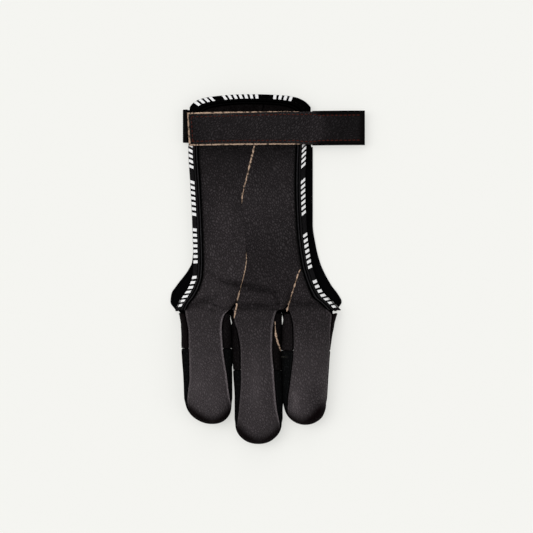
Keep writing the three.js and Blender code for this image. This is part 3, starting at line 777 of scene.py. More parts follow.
class GloveSizes(bpy.types.PropertyGroup):
    """Sizes of the glove's fine detail."""

    grain: length_property("Grain", "Width of one pebble of the leather", 0.00115)
    grain_depth: length_property("Grain depth", "Depth of the grooves of the grain", 0.00044)
    stitch_length: length_property("Stitch length", "Length of one stitch of the strap", 0.0019)
    stitch_pitch: length_property("Stitch pitch", "From one stitch of the strap to the next", 0.0026)
    thread: length_property("Thread", "Thickness of the strap's thread", 0.0005)
    ridge: length_property("Ridge", "Height of the ridge along the tape", 0.00028)
    bar_length: length_property("Bar length", "Length of one white bar on the tape", 0.0018)
    bar_width: length_property("Bar width", "Width of one white bar across the tape", 0.0025)
    rib_pitch: length_property("Rib pitch", "From one rib of the elastic to the next", 0.0013)


class GloveColours(bpy.types.PropertyGroup):
    """Colours of the glove's materials."""

    leather_dark: colour_property("Leather, dark", "Grooves and low places", (0.0105, 0.0087, 0.0093))
    leather_light: colour_property("Leather, light", "Rubbed places", (0.0355, 0.0305, 0.0322))
    # Red-black of burnished fingertips; the same colour also paints shade at the tips' rims, on the
    # side strips, past the strap and at the strap's free end.
    leather_burnish_and_shade: colour_property("Leather, tips", "Burnished fingertips", (0.0022, 0.0005, 0.0007))
    elastic: colour_property("Elastic", "Elastic of band and finger backs", (0.0036, 0.0038, 0.004))
    fabric: colour_property("Fabric", "Fabric of the back", (0.0026, 0.0026, 0.0029))
    tape: colour_property("Tape", "Binding tape", (0.0075, 0.0072, 0.0076))
    hook: colour_property("Hook", "Pad under the strap", (0.0022, 0.0022, 0.0024))
    raw: colour_property("Raw edge", "Cut edge of the undyed leather", (0.47, 0.33, 0.24))
    thread: colour_property("Thread", "Stitches of the strap", (0.07, 0.014, 0.009))
    stitch: colour_property("Side stitches", "Small stitches on a finger's side", (0.09, 0.085, 0.07))
    mark: colour_property("Bars", "Small bars on the tape", (0.85, 0.85, 0.85))
    floor: colour_property("Floor", "Plain pale floor", (0.35, 0.35, 0.337))
    glow: colour_property("Floor glow", "Light that shines through the floor", (0.565, 0.565, 0.544))


# Materials


class Net:
    """A node tree that is being wired."""

    def __init__(self, tree):
        self.tree = tree

    def wire(self, node, inputs):
        """Sets or links the inputs of a node, each given by its name or number."""
        for key, value in inputs.items():
            if isinstance(value, bpy.types.NodeSocket):
                self.tree.links.new(value, node.inputs[key])
            else:
                node.inputs[key].default_value = value

    def add(self, kind, inputs=None, **settings):
        """Adds a node, sets it and wires its inputs."""
        made = self.tree.nodes.new(kind)
        for key, value in settings.items():
            setattr(made, key, value)
        self.wire(made, inputs or {})
        return made

    def place(self, name):
        """The place on the piece, by its object or its UV."""
        return self.add("ShaderNodeTexCoord").outputs[name]

    def noise(self, place, scale, detail, output="Fac"):
        """Cloudy noise over a place."""
        inputs = {"Vector": place, "Scale": scale, "Detail": detail}
        return self.add("ShaderNodeTexNoise", inputs).outputs[output]

    def vector(self, operation, inputs):
        """One sum, product or the like of vectors."""
        return self.add("ShaderNodeVectorMath", inputs, operation=operation).outputs[0]

    def group(self, name, maker, inputs):
        """The outputs of a node group, which is built once and placed with these inputs."""
        tree = bpy.data.node_groups.get(name) or maker()
        return self.add("ShaderNodeGroup", inputs, node_tree=tree).outputs

    def math(self, operation, a, b=0.0, c=0.0):
        """One sum, product or the like of two or three values."""
        inputs = {0: a, 1: b, 2: c}
        return self.add("ShaderNodeMath", inputs, operation=operation).outputs[0]

    def blend(self, share, a, b):
        """The colour that lies `share` of the way from a to b."""
        inputs = {0: share, 6: a, 7: b}
        return self.add("ShaderNodeMix", inputs, data_type="RGBA").outputs[2]

    def mark(self, name):
        """A value that the piece's mesh holds at each point."""
        return self.add("ShaderNodeAttribute", attribute_name=name).outputs["Fac"]

    def ramp(self, value, low, high, start=0.0, end=1.0):
        """A value carried from the span low to high onto the span start to end."""
        inputs = {0: value, 1: low, 2: high, 3: start, 4: end}
        return self.add("ShaderNodeMapRange", inputs).outputs["Result"]


def new_group(name, numbers, outputs):
    """A shader node group that takes a place and named numbers and gives named values: its Net,
    what it is given and its end."""
    group = bpy.data.node_groups.new(name, "ShaderNodeTree")
    group.interface.new_socket("Place", in_out="INPUT", socket_type="NodeSocketVector")
    for label, value in numbers.items():
        socket = group.interface.new_socket(label, in_out="INPUT", socket_type="NodeSocketFloat")
        socket.default_value = value
    for label in outputs:
        group.interface.new_socket(label, in_out="OUTPUT", socket_type="NodeSocketFloat")
    net = Net(group)
    return net, net.add("NodeGroupInput").outputs, net.add("NodeGroupOutput")


def pebble_group():
    """Pebbled grain: domed cells of uneven height between grooves, stretched along a lean and
    pushed about a little. `Cell` differs from one pebble to the next, and `Patch` is broad."""
    net, given, end = new_group("Pebble grain", {"Size": 0.0013, "Lean": 0.6, "Stretch": 1.6},
                                ("Height", "Groove", "Cell", "Patch"))
    place = given["Place"]
    patch = net.noise(place, 55, 3)
    wander = net.noise(place, 110, 1, "Color")
    pushed = net.vector("MULTIPLY_ADD", {0: wander, 1: (0.005,) * 3, 2: place})
    turn = net.add("ShaderNodeVectorRotate", {"Vector": pushed, "Angle": given["Lean"]},
                   rotation_type="Z_AXIS")
    per_cell = net.math("DIVIDE", 1.0, given["Size"])
    narrow = net.math("DIVIDE", per_cell, given["Stretch"])
    scale = net.add("ShaderNodeCombineXYZ", {"X": per_cell, "Y": narrow, "Z": per_cell})
    cells = {"Vector": net.vector("MULTIPLY", {0: turn.outputs[0], 1: scale.outputs[0]}),
             "Scale": 1.0}
    border = net.add("ShaderNodeTexVoronoi", cells, feature="DISTANCE_TO_EDGE").outputs["Distance"]
    colour = net.add("ShaderNodeTexVoronoi", cells).outputs["Color"]
    cell = net.add("ShaderNodeSeparateColor", {"Color": colour}).outputs["Red"]
    domes = net.ramp(border, 0.0, 0.3)
    uneven = net.math("MULTIPLY", domes, net.math("MULTIPLY_ADD", cell, 0.5, 0.6))
    height = net.math("MULTIPLY_ADD", net.noise(cells["Vector"], 2.6, 4), 0.3, uneven)
    groove = net.ramp(border, 0.02, 0.26, 1.0, 0.0)
    net.wire(end, {"Height": height, "Groove": groove, "Cell": cell, "Patch": patch})
    return net.tree


def weave_group():
    """Woven or ribbed cloth on a UV in metres: crossed waves, and loose fibres over them."""
    net, given, end = new_group("Weave", {"Across": 0.0008, "Along": 0.0008, "Fuzz": 0.3},
                                ("Height", "Fleck"))
    place = given["Place"]
    split = net.add("ShaderNodeSeparateXYZ", {"Vector": place}).outputs
    waves = []
    for axis, pitch in (("X", "Across"), ("Y", "Along")):
        turns = net.math("DIVIDE", split[axis], given[pitch])
        waves.append(net.math("SINE", net.math("MULTIPLY", turns, 2 * math.pi)))
    crossed = net.math("MULTIPLY_ADD", net.math("MULTIPLY", *waves), 0.5, 0.5)
    height = net.math("MULTIPLY_ADD", net.noise(place, 1900, 3), given["Fuzz"], crossed)
    fleck = net.ramp(net.noise(place, 900, 2), 0.55, 0.75)
    net.wire(end, {"Height": height, "Fleck": fleck})
    return net.tree


def new_material(name):
    """A new material and its Net."""
    made = bpy.data.materials.new(name)
    made.use_nodes = True
    return made, Net(made.node_tree)


def dress(net, colour, rough, gloss, height=None, depth=0.0):
    """Gives a material's shader its colour, roughness and gloss, and lets a height between 0 and 1
    stand `depth` metres deep in its normal."""
    inputs = {"Base Color": colour, "Roughness": rough, "Specular IOR Level": gloss}
    if height is not None:
        relief = {"Height": height, "Distance": depth, "Strength": 1.0}
        inputs["Normal"] = net.add("ShaderNodeBump", relief).outputs["Normal"]
    net.wire(net.tree.nodes["Principled BSDF"], inputs)


def dim(colour, share):
    """A colour multiplied by a share."""
    return (*(channel * share for channel in colour[:3]), 1)


def leather_material(name, lean, stretch, rough, gloss):
    """Dyed leather: dark grooves, uneven pebbles, and burnished red-black fingertips.

    The piece's own `light`, painted light and shade, scales the colour from place to place and evens
    it out where it is high, and `tip` darkens it: burnish at the fingertips, and painted shade there
    and elsewhere.
    """
    sizes, colours = bpy.context.scene.glove_sizes, bpy.context.scene.glove_colours
    made, net = new_material(name)
    grain = net.group("Pebble grain", pebble_group, {
        "Place": net.place("Object"), "Size": sizes.grain, "Lean": lean, "Stretch": stretch})
    patch = net.ramp(grain["Patch"], 0.3, 0.7)
    rubbed = net.math("MULTIPLY_ADD", grain["Cell"], 0.6, net.math("MULTIPLY", patch, 0.4))
    light = colours.leather_light
    ground = net.blend(rubbed, dim(light, 0.78), dim(light, 1.22))
    grooved = net.blend(grain["Groove"], ground, tuple(colours.leather_dark))
    # `light` carries painted light and shade; `tip` carries burnish and painted shade.
    lightness, tip = net.mark("light"), net.mark("tip")
    even = net.blend(net.ramp(lightness, 1.0, 2.2, 1.0, 0.5), dim(light, 0.86), grooved)
    lit = net.vector("SCALE", {0: even, "Scale": lightness})
    colour = net.blend(tip, lit, tuple(colours.leather_burnish_and_shade))
    roughness = net.ramp(grain["Patch"], 0.3, 0.7, rough - 0.05, rough + 0.06)
    roughness = net.math("MULTIPLY_ADD", tip, 0.5, roughness)
    dress(net, colour, roughness, gloss, grain["Height"], sizes.grain_depth)
    return made


def cloth_material(name, colour, across, along, depth, fuzz, fleck, rough, shaded=False):
    """Cloth on the piece's own UV: a weave in the normal, and paler loose fibres.

    Where it is `shaded`, the piece's own `light`, painted light and shade, scales the colour from
    place to place.
    """
    made, net = new_material(name)
    weave = net.group("Weave", weave_group, {
        "Place": net.place("UV"), "Across": across, "Along": along, "Fuzz": fuzz})
    ground = net.blend(weave["Height"], dim(colour, 0.5), tuple(colour))
    shade = net.blend(weave["Fleck"], ground, dim(colour, fleck))
    if shaded:
        shade = net.vector("SCALE", {0: shade, "Scale": net.mark("light")})
    dress(net, shade, rough, 0.0, weave["Height"], depth)
    return made


def raw_material(name, colour):
    """Cut edge of undyed leather: pale fibres with darker specks where dye has run in."""
    made, net = new_material(name)
    place = net.place("Object")
    fibre = net.noise(place, 1600, 4)
    ground = net.blend(fibre, dim(colour, 0.75), dim(colour, 1.15))
    dyed = net.ramp(net.noise(place, 620, 2), 0.52, 0.62)
    dress(net, net.blend(dyed, ground, dim(colour, 0.16)), 0.85, 0.2, fibre, 0.00012)
    return made


def thread_material(name, colour):
    """Twisted thread: fine slanting bands in colour and height."""
    made, net = new_material(name)
    inputs = {"Vector": net.place("Object"), "Scale": 900, "Distortion": 1.5, "Detail": 1}
    bands = net.add("ShaderNodeTexWave", inputs, bands_direction="DIAGONAL").outputs["Fac"]
    dress(net, net.blend(bands, dim(colour, 0.7), dim(colour, 1.2)), 0.6, 0.05, bands, 0.00004)
    return made


def plain_material(name, colour, rough, spread):
    """A plain matt finish whose lightness wanders a little."""
    made, net = new_material(name)
    noise = net.noise(net.place("Object"), 300, 3)
    dress(net, net.blend(noise, dim(colour, 1 - spread), tuple(colour)), rough, 0.02)
    return made


def floor_material(colours):
    """The plain pale floor: one matt colour, lit softly from below so that shadows stay faint."""
    made, net = new_material("pale_floor")
    dress(net, tuple(colours.floor), 0.9, 0.0)
    net.wire(net.tree.nodes["Principled BSDF"],
             {"Emission Color": tuple(colours.glow), "Emission Strength": 1.0})
    return made


def finish_of(kind):
    """The material for one of the glove's finishes, built once."""
    name = f"glove_{kind}"
    colours, sizes = bpy.context.scene.glove_colours, bpy.context.scene.glove_sizes
    makers = {
        "palm_leather": (leather_material, -0.35, 1.8, 0.4, 0.05),
        "strap_leather": (leather_material, 0.6, 2.0, 0.42, 0.05),
        "elastic": (cloth_material, colours.elastic, sizes.rib_pitch, 0.0006, 0.00012, 0.6, 4.0, 0.9),
        "back_fabric": (cloth_material, colours.fabric, 0.0009, 0.0009, 0.00015, 0.3, 2.0, 0.9),
        "tape": (cloth_material, colours.tape, 0.0022, 0.0007, 0.00008, 0.2, 1.8, 0.6, True),
        "rim_tape": (cloth_material, colours.fabric, 0.0022, 0.0007, 0.00008, 0.2, 1.8, 0.7),
        "hook": (plain_material, colours.hook, 0.8, 0.4),
        "raw_edge": (raw_material, colours.raw),
        "thread": (thread_material, colours.thread),
        "black_thread": (thread_material, dim(colours.tape, 0.4)),
        "side_thread": (thread_material, colours.stitch),
        "mark": (plain_material, colours.mark, 0.6, 0.05),
    }
    maker, *values = makers[kind]
    return bpy.data.materials.get(name) or maker(name, *values)


# Pieces


# How light the leather is painted along each front: paler on the fingers, painted light, and darker
# towards the strap, a painted shadow.
FRONT_PAINTED_LIGHT = {
    "index": track([-69, -50, -7, 23, 53, 77, 98], [1.9, 2.05, 1.5, 1.33, 1.08, 0.84, 0.4]),
    "middle": track([-80, -43, -7, 11, 35, 65, 98], [1.65, 1.8, 1.25, 1.02, 0.82, 1.15, 0.44]),
    "ring": track([-69, -55, -31, -7, 24], [2.0, 2.0, 1.75, 1.13, 0.85]),
}
# Painted highlights on the fronts and one painted shade: middle, breadth, height and strength.
PAINTED_LIGHT_SPOTS = [
    (-16, 58, 7, 12, 0.24), (22, 87, 7, 8, 0.25), (-31, -43, 3, 7, 0.12), (3, -45, 3.4, 16, 0.2),
    (27, -54, 2.2, 6, 0.55), (-16, 5, 6, 7, 0.1), (39, -56, 5, 13, -0.3),
]
# On the left and right of each finger: how light its strip is painted, a painted shade, and how
# strong the painted highlight along its front's folded edge is.
STRIP_PAINTED_SHADE = {"index": (0.06, 0.3), "middle": (0.22, 0.2), "ring": (0.5, 0.06)}
EDGE_HIGHLIGHTS = {"index": (0.8, 2.4), "middle": (0.3, 2.0), "ring": (0.0, 0.9)}
# How far the paler middle of a fingertip lies to the left of its own, which moves the painted shade
# of its rim to one side, and how long the darkened tip is.
SHADED_TIP_SIDE = {"index": -0.1, "middle": -0.05, "ring": 0.28}
DARK_TIP_LENGTH = 18
# How far the left and the right side swell towards a neighbour, each with the place where it ends.
SIDE_SWELL = {"index": (0, 0, 0.5, -36), "middle": (0.5, -36, 0.65, -60), "ring": (0.65, -60, 0, 0)}
FOLD_INSET = 0.85  # from a front's cut edge to the top of its folded bead
FRONT_ROW = 0.45  # from one row of a front's points to the next
TIP_END = np.array([0, -1.0, 0])  # the way a fingertip's last point faces


def front_painted_light(finger, x, y, from_left, from_right):
    """How light a front is painted: paler down the fingers, painted light, and a painted shadow by
    the strap; painted shade beside the tape and in the folds; nearly black past the strap; painted
    highlights and one painted shade at its spots, painted highlights along its folded edges on the
    fingers; and paler on the pressed rings."""
    # Painted highlight along each folded edge of the front.
    edge_highlight = sum(share * bell((run - FOLD_INSET) / 0.6)
               for run, share in zip((from_left, from_right), EDGE_HIGHLIGHTS[finger.name]))
    by_tape = from_left if finger is INDEX else from_right
    seamed = (finger is MIDDLE) * smooth((OUTER_SEAM_END * PALM_LENGTH + 1 - y) / 2)
    # Painted shade beside the tape.
    shaded = 0.85 * bell(by_tape / 1.1) + 0.2 * np.exp(-by_tape / 3)
    palm = 1 - shaded * (1 - seamed) * smooth((y + 1) / 3)
    # Painted highlights, and one painted shade, at the listed spots.
    glow = sum(share * np.exp(-(((x - gx) / wide) ** 2) - ((y - gy) / high) ** 2)
               for gx, gy, wide, high, share in PAINTED_LIGHT_SPOTS)
    # Painted shade in the creases and wrinkles.
    folds = 1 - 0.4 * clamp((crease_depth(x, y) + wrinkle_depth(x, y)) / 0.8)
    edge_highlight = 1 + edge_highlight * smooth((1.5 - y) / 3)
    light = FRONT_PAINTED_LIGHT[finger.name](y) * palm * (1 + glow) * folds * edge_highlight
    # Nearly black past the strap.
    return light * smooth((STRAP_HEIGHT + 9 - y) / 3) * (1 + 0.8 * pressed_rings(x, y))


def front_piece(finger):
    """A leather front: the glove's face over one finger and its strip of the palm.

    Its rows are even down to the tip, which closes as a quarter ellipse. Beside the cut edges on
    a finger a folded bead stands up, with a shallow stitched channel inside it.
    """
    wrist_top = PALM_LENGTH - TAPE_WIDTH - SEAM_GAP
    top = (OUTER_SEAM_END - 0.012) * PALM_LENGTH if finger is RING else wrist_top
    tip_start = finger.length - TIP_ROUND
    near = top - np.array([0, 0.04, 0.12, 0.25])
    body = np.linspace(top - FRONT_ROW, -tip_start, int((top + tip_start) / FRONT_ROW))
    turn = np.linspace(0, np.pi / 2, 34)[1:]
    level = np.concatenate([near, body, -tip_start - TIP_ROUND * np.sin(turn)])[:, None]
    level[-1] = -finger.length
    u = clustered(60, 26.0, 0.6)[None, :]
    grid = front_points(finger, level, u)
    x, y = across_front(finger, level, u), grid[..., 1]
    from_left, from_right = steps_of(grid, 1)
    edge = np.minimum(from_left, from_right)
    fold = 0.22 * bell((edge - FOLD_INSET) / 0.42) - 0.1 * bell((edge - 2) / 0.4)
    relief = (leather_relief(x, y) + fold * smooth((1.5 - y) / 3)) * closing(finger, level)
    # Past the strap's upper edge the leather turns towards the tips' dark colour; at the tips the
    # mark is burnish and painted shade.
    under_strap = 0.4 * smooth((y - STRAP_HEIGHT - 7) / 3)
    marks = {"light": front_painted_light(finger, x, y, from_left, from_right),
             "tip": np.maximum(tip_burnish_and_shade(finger, x, y), under_strap)}
    return shell_piece(f"{finger.name}_leather_front", grid, LEATHER_WALL, "palm_leather",
                       [f"{finger.name}_front"], tip=TIP_END, relief=relief,
                       soft=mix(0.02, 0.55, seam_open(level)), marks=marks)


def side_swell(finger, x, y):
    """Swelling of a finger's side: soft steps across it, from the fork down to where it ends."""
    left, left_end, right, right_end = SIDE_SWELL[finger.name]
    low, high = sides_at(finger, y)
    out = between(x, low, high)
    start = smooth((-4 - y) / 6)
    return start * (left * smooth((-out - 0.72) / 0.2) * smooth((y - left_end) / 7)
                    + right * smooth((out - 0.72) / 0.2) * smooth((y - right_end) / 7))


def tip_burnish_and_shade(finger, x, y):
    """How dark a fingertip is, part burnish and part painted shade at its rounded rim: a soft step on
    the distance from the middle of the tip's round, as a share of the finger's half width across and
    of `DARK_TIP_LENGTH` along."""
    left, right = sides_at(finger, y)
    into = clamp((-y - finger.length + DARK_TIP_LENGTH) / DARK_TIP_LENGTH)
    far = np.hypot(0.86 * (between(x, left, right) + SHADED_TIP_SIDE[finger.name]), into)
    return smooth((far - 0.57) / 0.4) * smooth(1.9 * into)


def strip_points(finger, right, y, u):
    """Points of a side strip: round the finger's section from the leather's edge to its foot."""
    cover = finger.front_right if right else finger.front_left
    edge = angle_at(cover(-y / finger.length) + EDGE_GAP / FINGER_HALF)
    low = low_angle(finger, y, STRIP_FOOT)
    angle = mix(edge, low, u) if right else mix(-low, -edge, u)
    return section(finger, y, angle)


def side_strip(finger, right):
    """A leather strip down a finger's side, with fine folds across it."""
    end = finger.back_start * finger.length - SEAM_GAP
    y = -mix(STRIP_START, end, clustered(60, end - STRIP_START, 0.45))[:, None]
    grid = strip_points(finger, right, y, clustered(18, 9.0, 0.45)[None, :])
    along = steps_of(grid, 0)[0]
    ribbed = 0.11 if finger is MIDDLE and not right else 0.04
    relief = ribbed * np.sin(2 * np.pi * along / 1.35) + 0.08 * lumps(along, grid[..., 2], 3.0, 5)
    relief = relief + side_swell(finger, grid[..., 0], grid[..., 1])
    side = finger.sides[right]
    across = np.linspace(-1, 1, grid.shape[1])[None, :]
    # Painted shade on the strip, darkest towards its edges; its `tip` darkens it further, painted
    # shade too.
    light = STRIP_PAINTED_SHADE[finger.name][right] * (1 - 0.8 * across**4)
    return shell_piece(f"{finger.name}_{side}_strip", grid, STRIP_WALL, "palm_leather",
                       [f"{finger.name}_{side}_side"], relief=relief, soft=0.4,
                       marks={"light": light, "tip": 0.3 if light.max() > 0.1 else 0.8})


def elastic_back(finger):
    """The ribbed elastic round a fingertip, from one edge of the leather to the other."""
    pitch = bpy.context.scene.glove_sizes.rib_pitch / MM
    start = finger.back_start * finger.length
    tip_start = finger.length - TIP_ROUND
    turn = np.linspace(0, np.pi / 2, 24)[1:]
    y = -np.concatenate([np.linspace(start, tip_start, 44), tip_start + TIP_ROUND * np.sin(turn)])
    y[-1] = -finger.length
    y = y[:, None]
    at = -y / finger.length
    gap = SEAM_GAP / FINGER_HALF * closing(finger, y)
    right = angle_at(finger.front_right(at) + gap)
    left = angle_at(finger.front_left(at) + gap)
    u = clustered(170, 46.0, 0.4)[None, :]
    grid = section(finger, y, mix(right, 2 * np.pi - left, u))
    around = steps_of(grid[:1], 1)[0]
    ribs = 0.1 * np.cos(2 * np.pi * around / pitch)
    on_ground = smooth(grid[..., 2] / 0.5)
    relief = ribs * on_ground * closing(finger, y) + side_swell(finger, grid[..., 0], grid[..., 1])
    return shell_piece(f"{finger.name}_elastic_back", grid, ELASTIC_WALL, "elastic",
                       [f"{finger.name}_back"], tip=TIP_END, relief=relief, soft=0.35)


def panel_columns(y):
    """X of the back panel's columns at y: six across each finger's tongue, one in each notch."""
    low = np.minimum(y, 0)
    edges = []
    for finger in FINGERS:
        left, right = sides_at(finger, low)
        centre, reach = (left + right) / 2, TONGUE_SHARE * (right - left) / 2
        edges.append((centre - reach, centre + reach))
    columns = []
    for k, (left, right) in enumerate(edges):
        columns += [mix(left, right, i / 5) for i in range(6)]
        if k < 2:
            columns.append((right + edges[k + 1][0]) / 2)
    return np.stack(columns, -1)


def back_panel():
    """The back: a fabric sheet on the ground with a tongue under each finger, over the band."""
    bottoms = []
    for k, finger in enumerate(FINGERS):
        bottoms += [-finger.back_start * finger.length + SEAM_GAP] * 6 + ([-0.5] if k < 2 else [])
    bottoms = np.array(bottoms)
    bays = len(bottoms) - 1
    u = np.linspace(0, 1, bays * 4 + 1) * bays
    k = np.minimum(bays - 1, np.floor(u).astype(int))
    part = u - k
    low = mix(bottoms[k], bottoms[k + 1], part)[None, :]
    palm = mix(BACK_TOP, 0, np.linspace(0, 1, 80))[:, None] * np.ones_like(low)
    tongue = low * np.linspace(0, 1, 30)[1:, None]
    y = np.concatenate([palm, tongue])
    columns = panel_columns(y)
    pick = np.broadcast_to(k, y.shape)[..., None]
    x = mix(np.take_along_axis(columns, pick, -1)[..., 0],
            np.take_along_axis(columns, pick + 1, -1)[..., 0], part)
    knuckle = panel_columns(np.zeros(1))[0]
    spread = (x - knuckle[0]) / (knuckle[-1] - knuckle[0])
    palm_y = np.maximum(y, 0)
    wide = mix(panel_edge("left", palm_y), panel_edge("right", palm_y), spread)
    fall = near_wrist(y) * corner_fall(2 * spread - 1)
    x = mix(x, wide, smooth((y + 4) / 3.2))
    grid = np.stack([x, y - fall, back_level(y) + FABRIC_WALL], -1)
    made = shell_piece("back_panel_fabric", grid, FABRIC_WALL, "back_fabric", ["back_panel"],
                       under=True, soft=0.3)
    return made


def tape_point(inset, path):
    """A point of the tape's upper face. `inset` is its distance from the outer edge, and `path`
    goes from 0 to 1 up the left side, from 1 to 2 round the wrist and from 2 to 3 down the right."""
    inset, path = np.broadcast_arrays(np.asarray(inset, float), np.asarray(path, float))
    up = clamp(np.where(path < 1.5, path, 3 - path))
    y_side = up * (CORNER_Y - inset)
    x_side = np.where(path < 1.5, inside_left(y_side, inset), inside_right(y_side, inset))
    share = np.sin(clamp(path - 1) * np.pi - np.pi / 2)
    left, right = inside_left(CORNER_Y, inset), inside_right(CORNER_Y, inset)
    x_wrist = mix(left, right, (share + 1) / 2)
    y_wrist = PALM_LENGTH - inset - corner_fall(share)
    on_side = (path < 1) | (path > 2)
    x = np.where(on_side, x_side, x_wrist)
    y = np.where(on_side, y_side, y_wrist)
    of_index = front_top(INDEX, x, y)
    of_ring = front_top(RING, x, y)
    z_side = np.where(path < 1.5, of_index, of_ring)
    z = np.where(on_side, z_side, palm_top(x, y))
    arch = TAPE_PROUD * (1 - (2 * inset / TAPE_WIDTH - 1) ** 4)
    return np.stack([x, y, z + arch], -1)


CHANNEL = 3.05  # from the leather to the stitched channel along the tape
BAR_INSET = 1.45  # from the tape's outer edge to the middle of its bars
BAR_STEP = 3.2  # from one bar to the next


def tape_relief(inset):
    """Height across the tape: a narrow bead and a wide one by the leather, then the flat band.

    Each bead is a soft plateau between two sewn grooves, and the grooves are narrow bells.
    """
    t = TAPE_WIDTH - inset
    ridge = bpy.context.scene.glove_sizes.ridge / MM
    narrow = smooth((t - 0.15) / 0.3) * smooth((1.15 - t) / 0.3)
    wide = smooth((t - 1.35) / 0.35) * smooth((2.95 - t) / 0.35)
    grooves = sum(bell((t - place) / 0.22) for place in (0.08, 1.25, CHANNEL))
    return ridge * (1.5 * narrow + wide) - 0.4 * grooves


def tape_run():
    """Places along the tape's path, and how far along the tape each lies."""
    path = np.linspace(0, 3, 6001)
    return path, steps_of(tape_point(1.5, path)[None], 1)[0][0]


def front_tape():
    """The binding tape round the palm."""
    path, run = tape_run()
    inset = TAPE_WIDTH * (1 - clustered(30, TAPE_WIDTH, 0.35))[None, :]
    grid = tape_point(inset, np.interp(np.linspace(0, run[-1], 760), run, path)[:, None])
    t = TAPE_WIDTH - inset
    # Painted highlights on the tape's two beads; the flat band past the channel is paler, the rest
    # near black, and all goes nearly black past the strap.
    bead_highlights = 3.4 * bell((t - 0.65) / 0.32) + 1.9 * bell((t - 2.2) / 0.45)
    light = 0.1 + bead_highlights + 1.2 * smooth((t - CHANNEL) / 0.3)
    light = light * mix(1, 0.1, smooth((grid[..., 1] - STRAP_HEIGHT - 4) / 5))
    return shell_piece("front_binding_tape", grid, TAPE_THICKNESS, "tape", ["front_tape"],
                       under=True, soft=0.45, relief=tape_relief(inset), marks={"light": light})


def tape_bars():
    """Groups of plain pale bars on the tape, each a small leaning plate."""
    sizes = bpy.context.scene.glove_sizes
    path, run = tape_run()
    total, wrist = run[-1], float(np.interp(1.5, path, run))
    groups = [(1.4, 7), (30.0, 7), (58.6, 7), (87.2, 7), (wrist - 34.2, 4), (wrist - 16.8, 7),
              (wrist + 13.2, 4), (total - 113.6, 7), (total - 85.0, 7), (total - 52.4, 7),
              (total - 23.8, 7)]
    middles = np.concatenate([first + BAR_STEP * (np.arange(bars) + 0.5) for first, bars in groups])
    along = np.linspace(-0.5, 0.5, 3) * sizes.bar_length / MM
    across = np.linspace(-0.5, 0.5, 4) * sizes.bar_width / MM
    lean = 0.28 * across
    where = middles[:, None, None] + along[None, None, :] + lean[None, :, None]
    tops = tape_point(BAR_INSET + across[None, :, None], np.interp(where, run, path))
    tops[..., 2] += 0.07
    return plate_piece("tape_bars", tops, 0.2, "mark")


def tape_stitches():
    """The stitches in the tape's channel."""
    path, run = tape_run()
    places = np.interp(np.arange(1.5, run[-1] - 1, 2.9), run, path)
    middle = tape_point(TAPE_WIDTH - CHANNEL, places)
    ways = unit(tape_point(TAPE_WIDTH - CHANNEL, places + 1e-4) - middle)
    return stitch_piece("tape_stitches", middle - UP * 0.2, ways, np.broadcast_to(UP, ways.shape),
                        "black_thread", 2.0, 0.42)


def back_rim(side):
    """A bound rim along one side of the back: a soft bar of fourteen sides."""
    y = mix(-0.8, BAND_FOOT - 2.5, np.linspace(0, 1, 190) ** 1.3)
    slope = rim_slope(side, y)
    scale = (1 if side == "right" else -1) / np.hypot(1, slope)
    turn = np.linspace(0, 2 * np.pi, 14, endpoint=False)
    out = -RIM_WIDTH / 2 + RIM_WIDTH / 2 * bent(np.cos(turn), 0.6)
    up = RIM_HEIGHT / 2 * (1 + bent(np.sin(turn), 0.6))
    x = rim_edge(side, y)[:, None] + scale[:, None] * out
    rings = np.stack([x, y[:, None] - (slope * scale)[:, None] * out, up + 0 * x], -1)
    return tube_piece(f"{side}_rim_binding", rings, "rim_tape", [f"{side}_back_binding"])


def ribbon_points(x, v, half_width, top):
    """Points of a strap's upper face: x along it, v from -1 to 1 across it."""
    return np.stack(np.broadcast_arrays(x, strap_y(x) + v * half_width, top), -1)


# Along the strap, by X: how light its leather is painted, painted light and shade along its bends,
# and how far the raw layer shows at its edges.
STRAP_PAINTED_LIGHT = track([-38, -28, -18, 11, 25, 40, 47, 54, 68],
                    [0.25, 0.6, 0.7, 0.78, 0.76, 0.92, 0.44, 0.32, 0.34])
RAW_ABOVE = track([-45, -38, 0, 15, 30, 37], [0.95, 0.95, 0.7, 0.35, 0.2, 0.0])
RAW_BELOW = track([-45, -38, 10, 27, 31, 37], [0.95, 0.95, 0.9, 0.85, 0.3, 0.0])
SEAM_INSET = 1.7  # from the leather's edge to the strap's seam
LEATHER_LEFT, LEATHER_RIGHT = STRAP_LEFT + 0.9, STRAP_RIGHT - 0.9
LAYER_TOP = 0.85  # of the strap's lower layer


def strap_span(x):
    """How far the strap's leather reaches below and above its middle line."""
    half = STRAP_WIDTH / 2
    free = smooth((x - PALM_RIGHT) / 8)
    below = half - mix(RAW_BELOW(x), 0.75, free) + 0.1 * lumps(x, 0 * x, 7.0, 8)
    above = half - mix(RAW_ABOVE(x), 0.75, free) + 0.1 * lumps(x, 0 * x, 7.0, 18)
    return below, above


def end_slant(x, v):
    """How far the strap's sewn end leans to the left, from its lower corner to its upper one."""
    return 0.6 * v * smooth((PALM_RIGHT - x) / 70)


def ribbon_net(left, right, columns, lanes, radius, width=STRAP_WIDTH):
    """Places for a ribbon's points, closer near its edges: x along it, v from -1 to 1 across."""
    x = mix(left, right, clustered(columns, right - left, radius))[:, None]
    return x, (2 * clustered(lanes, width, radius) - 1)[None, :]


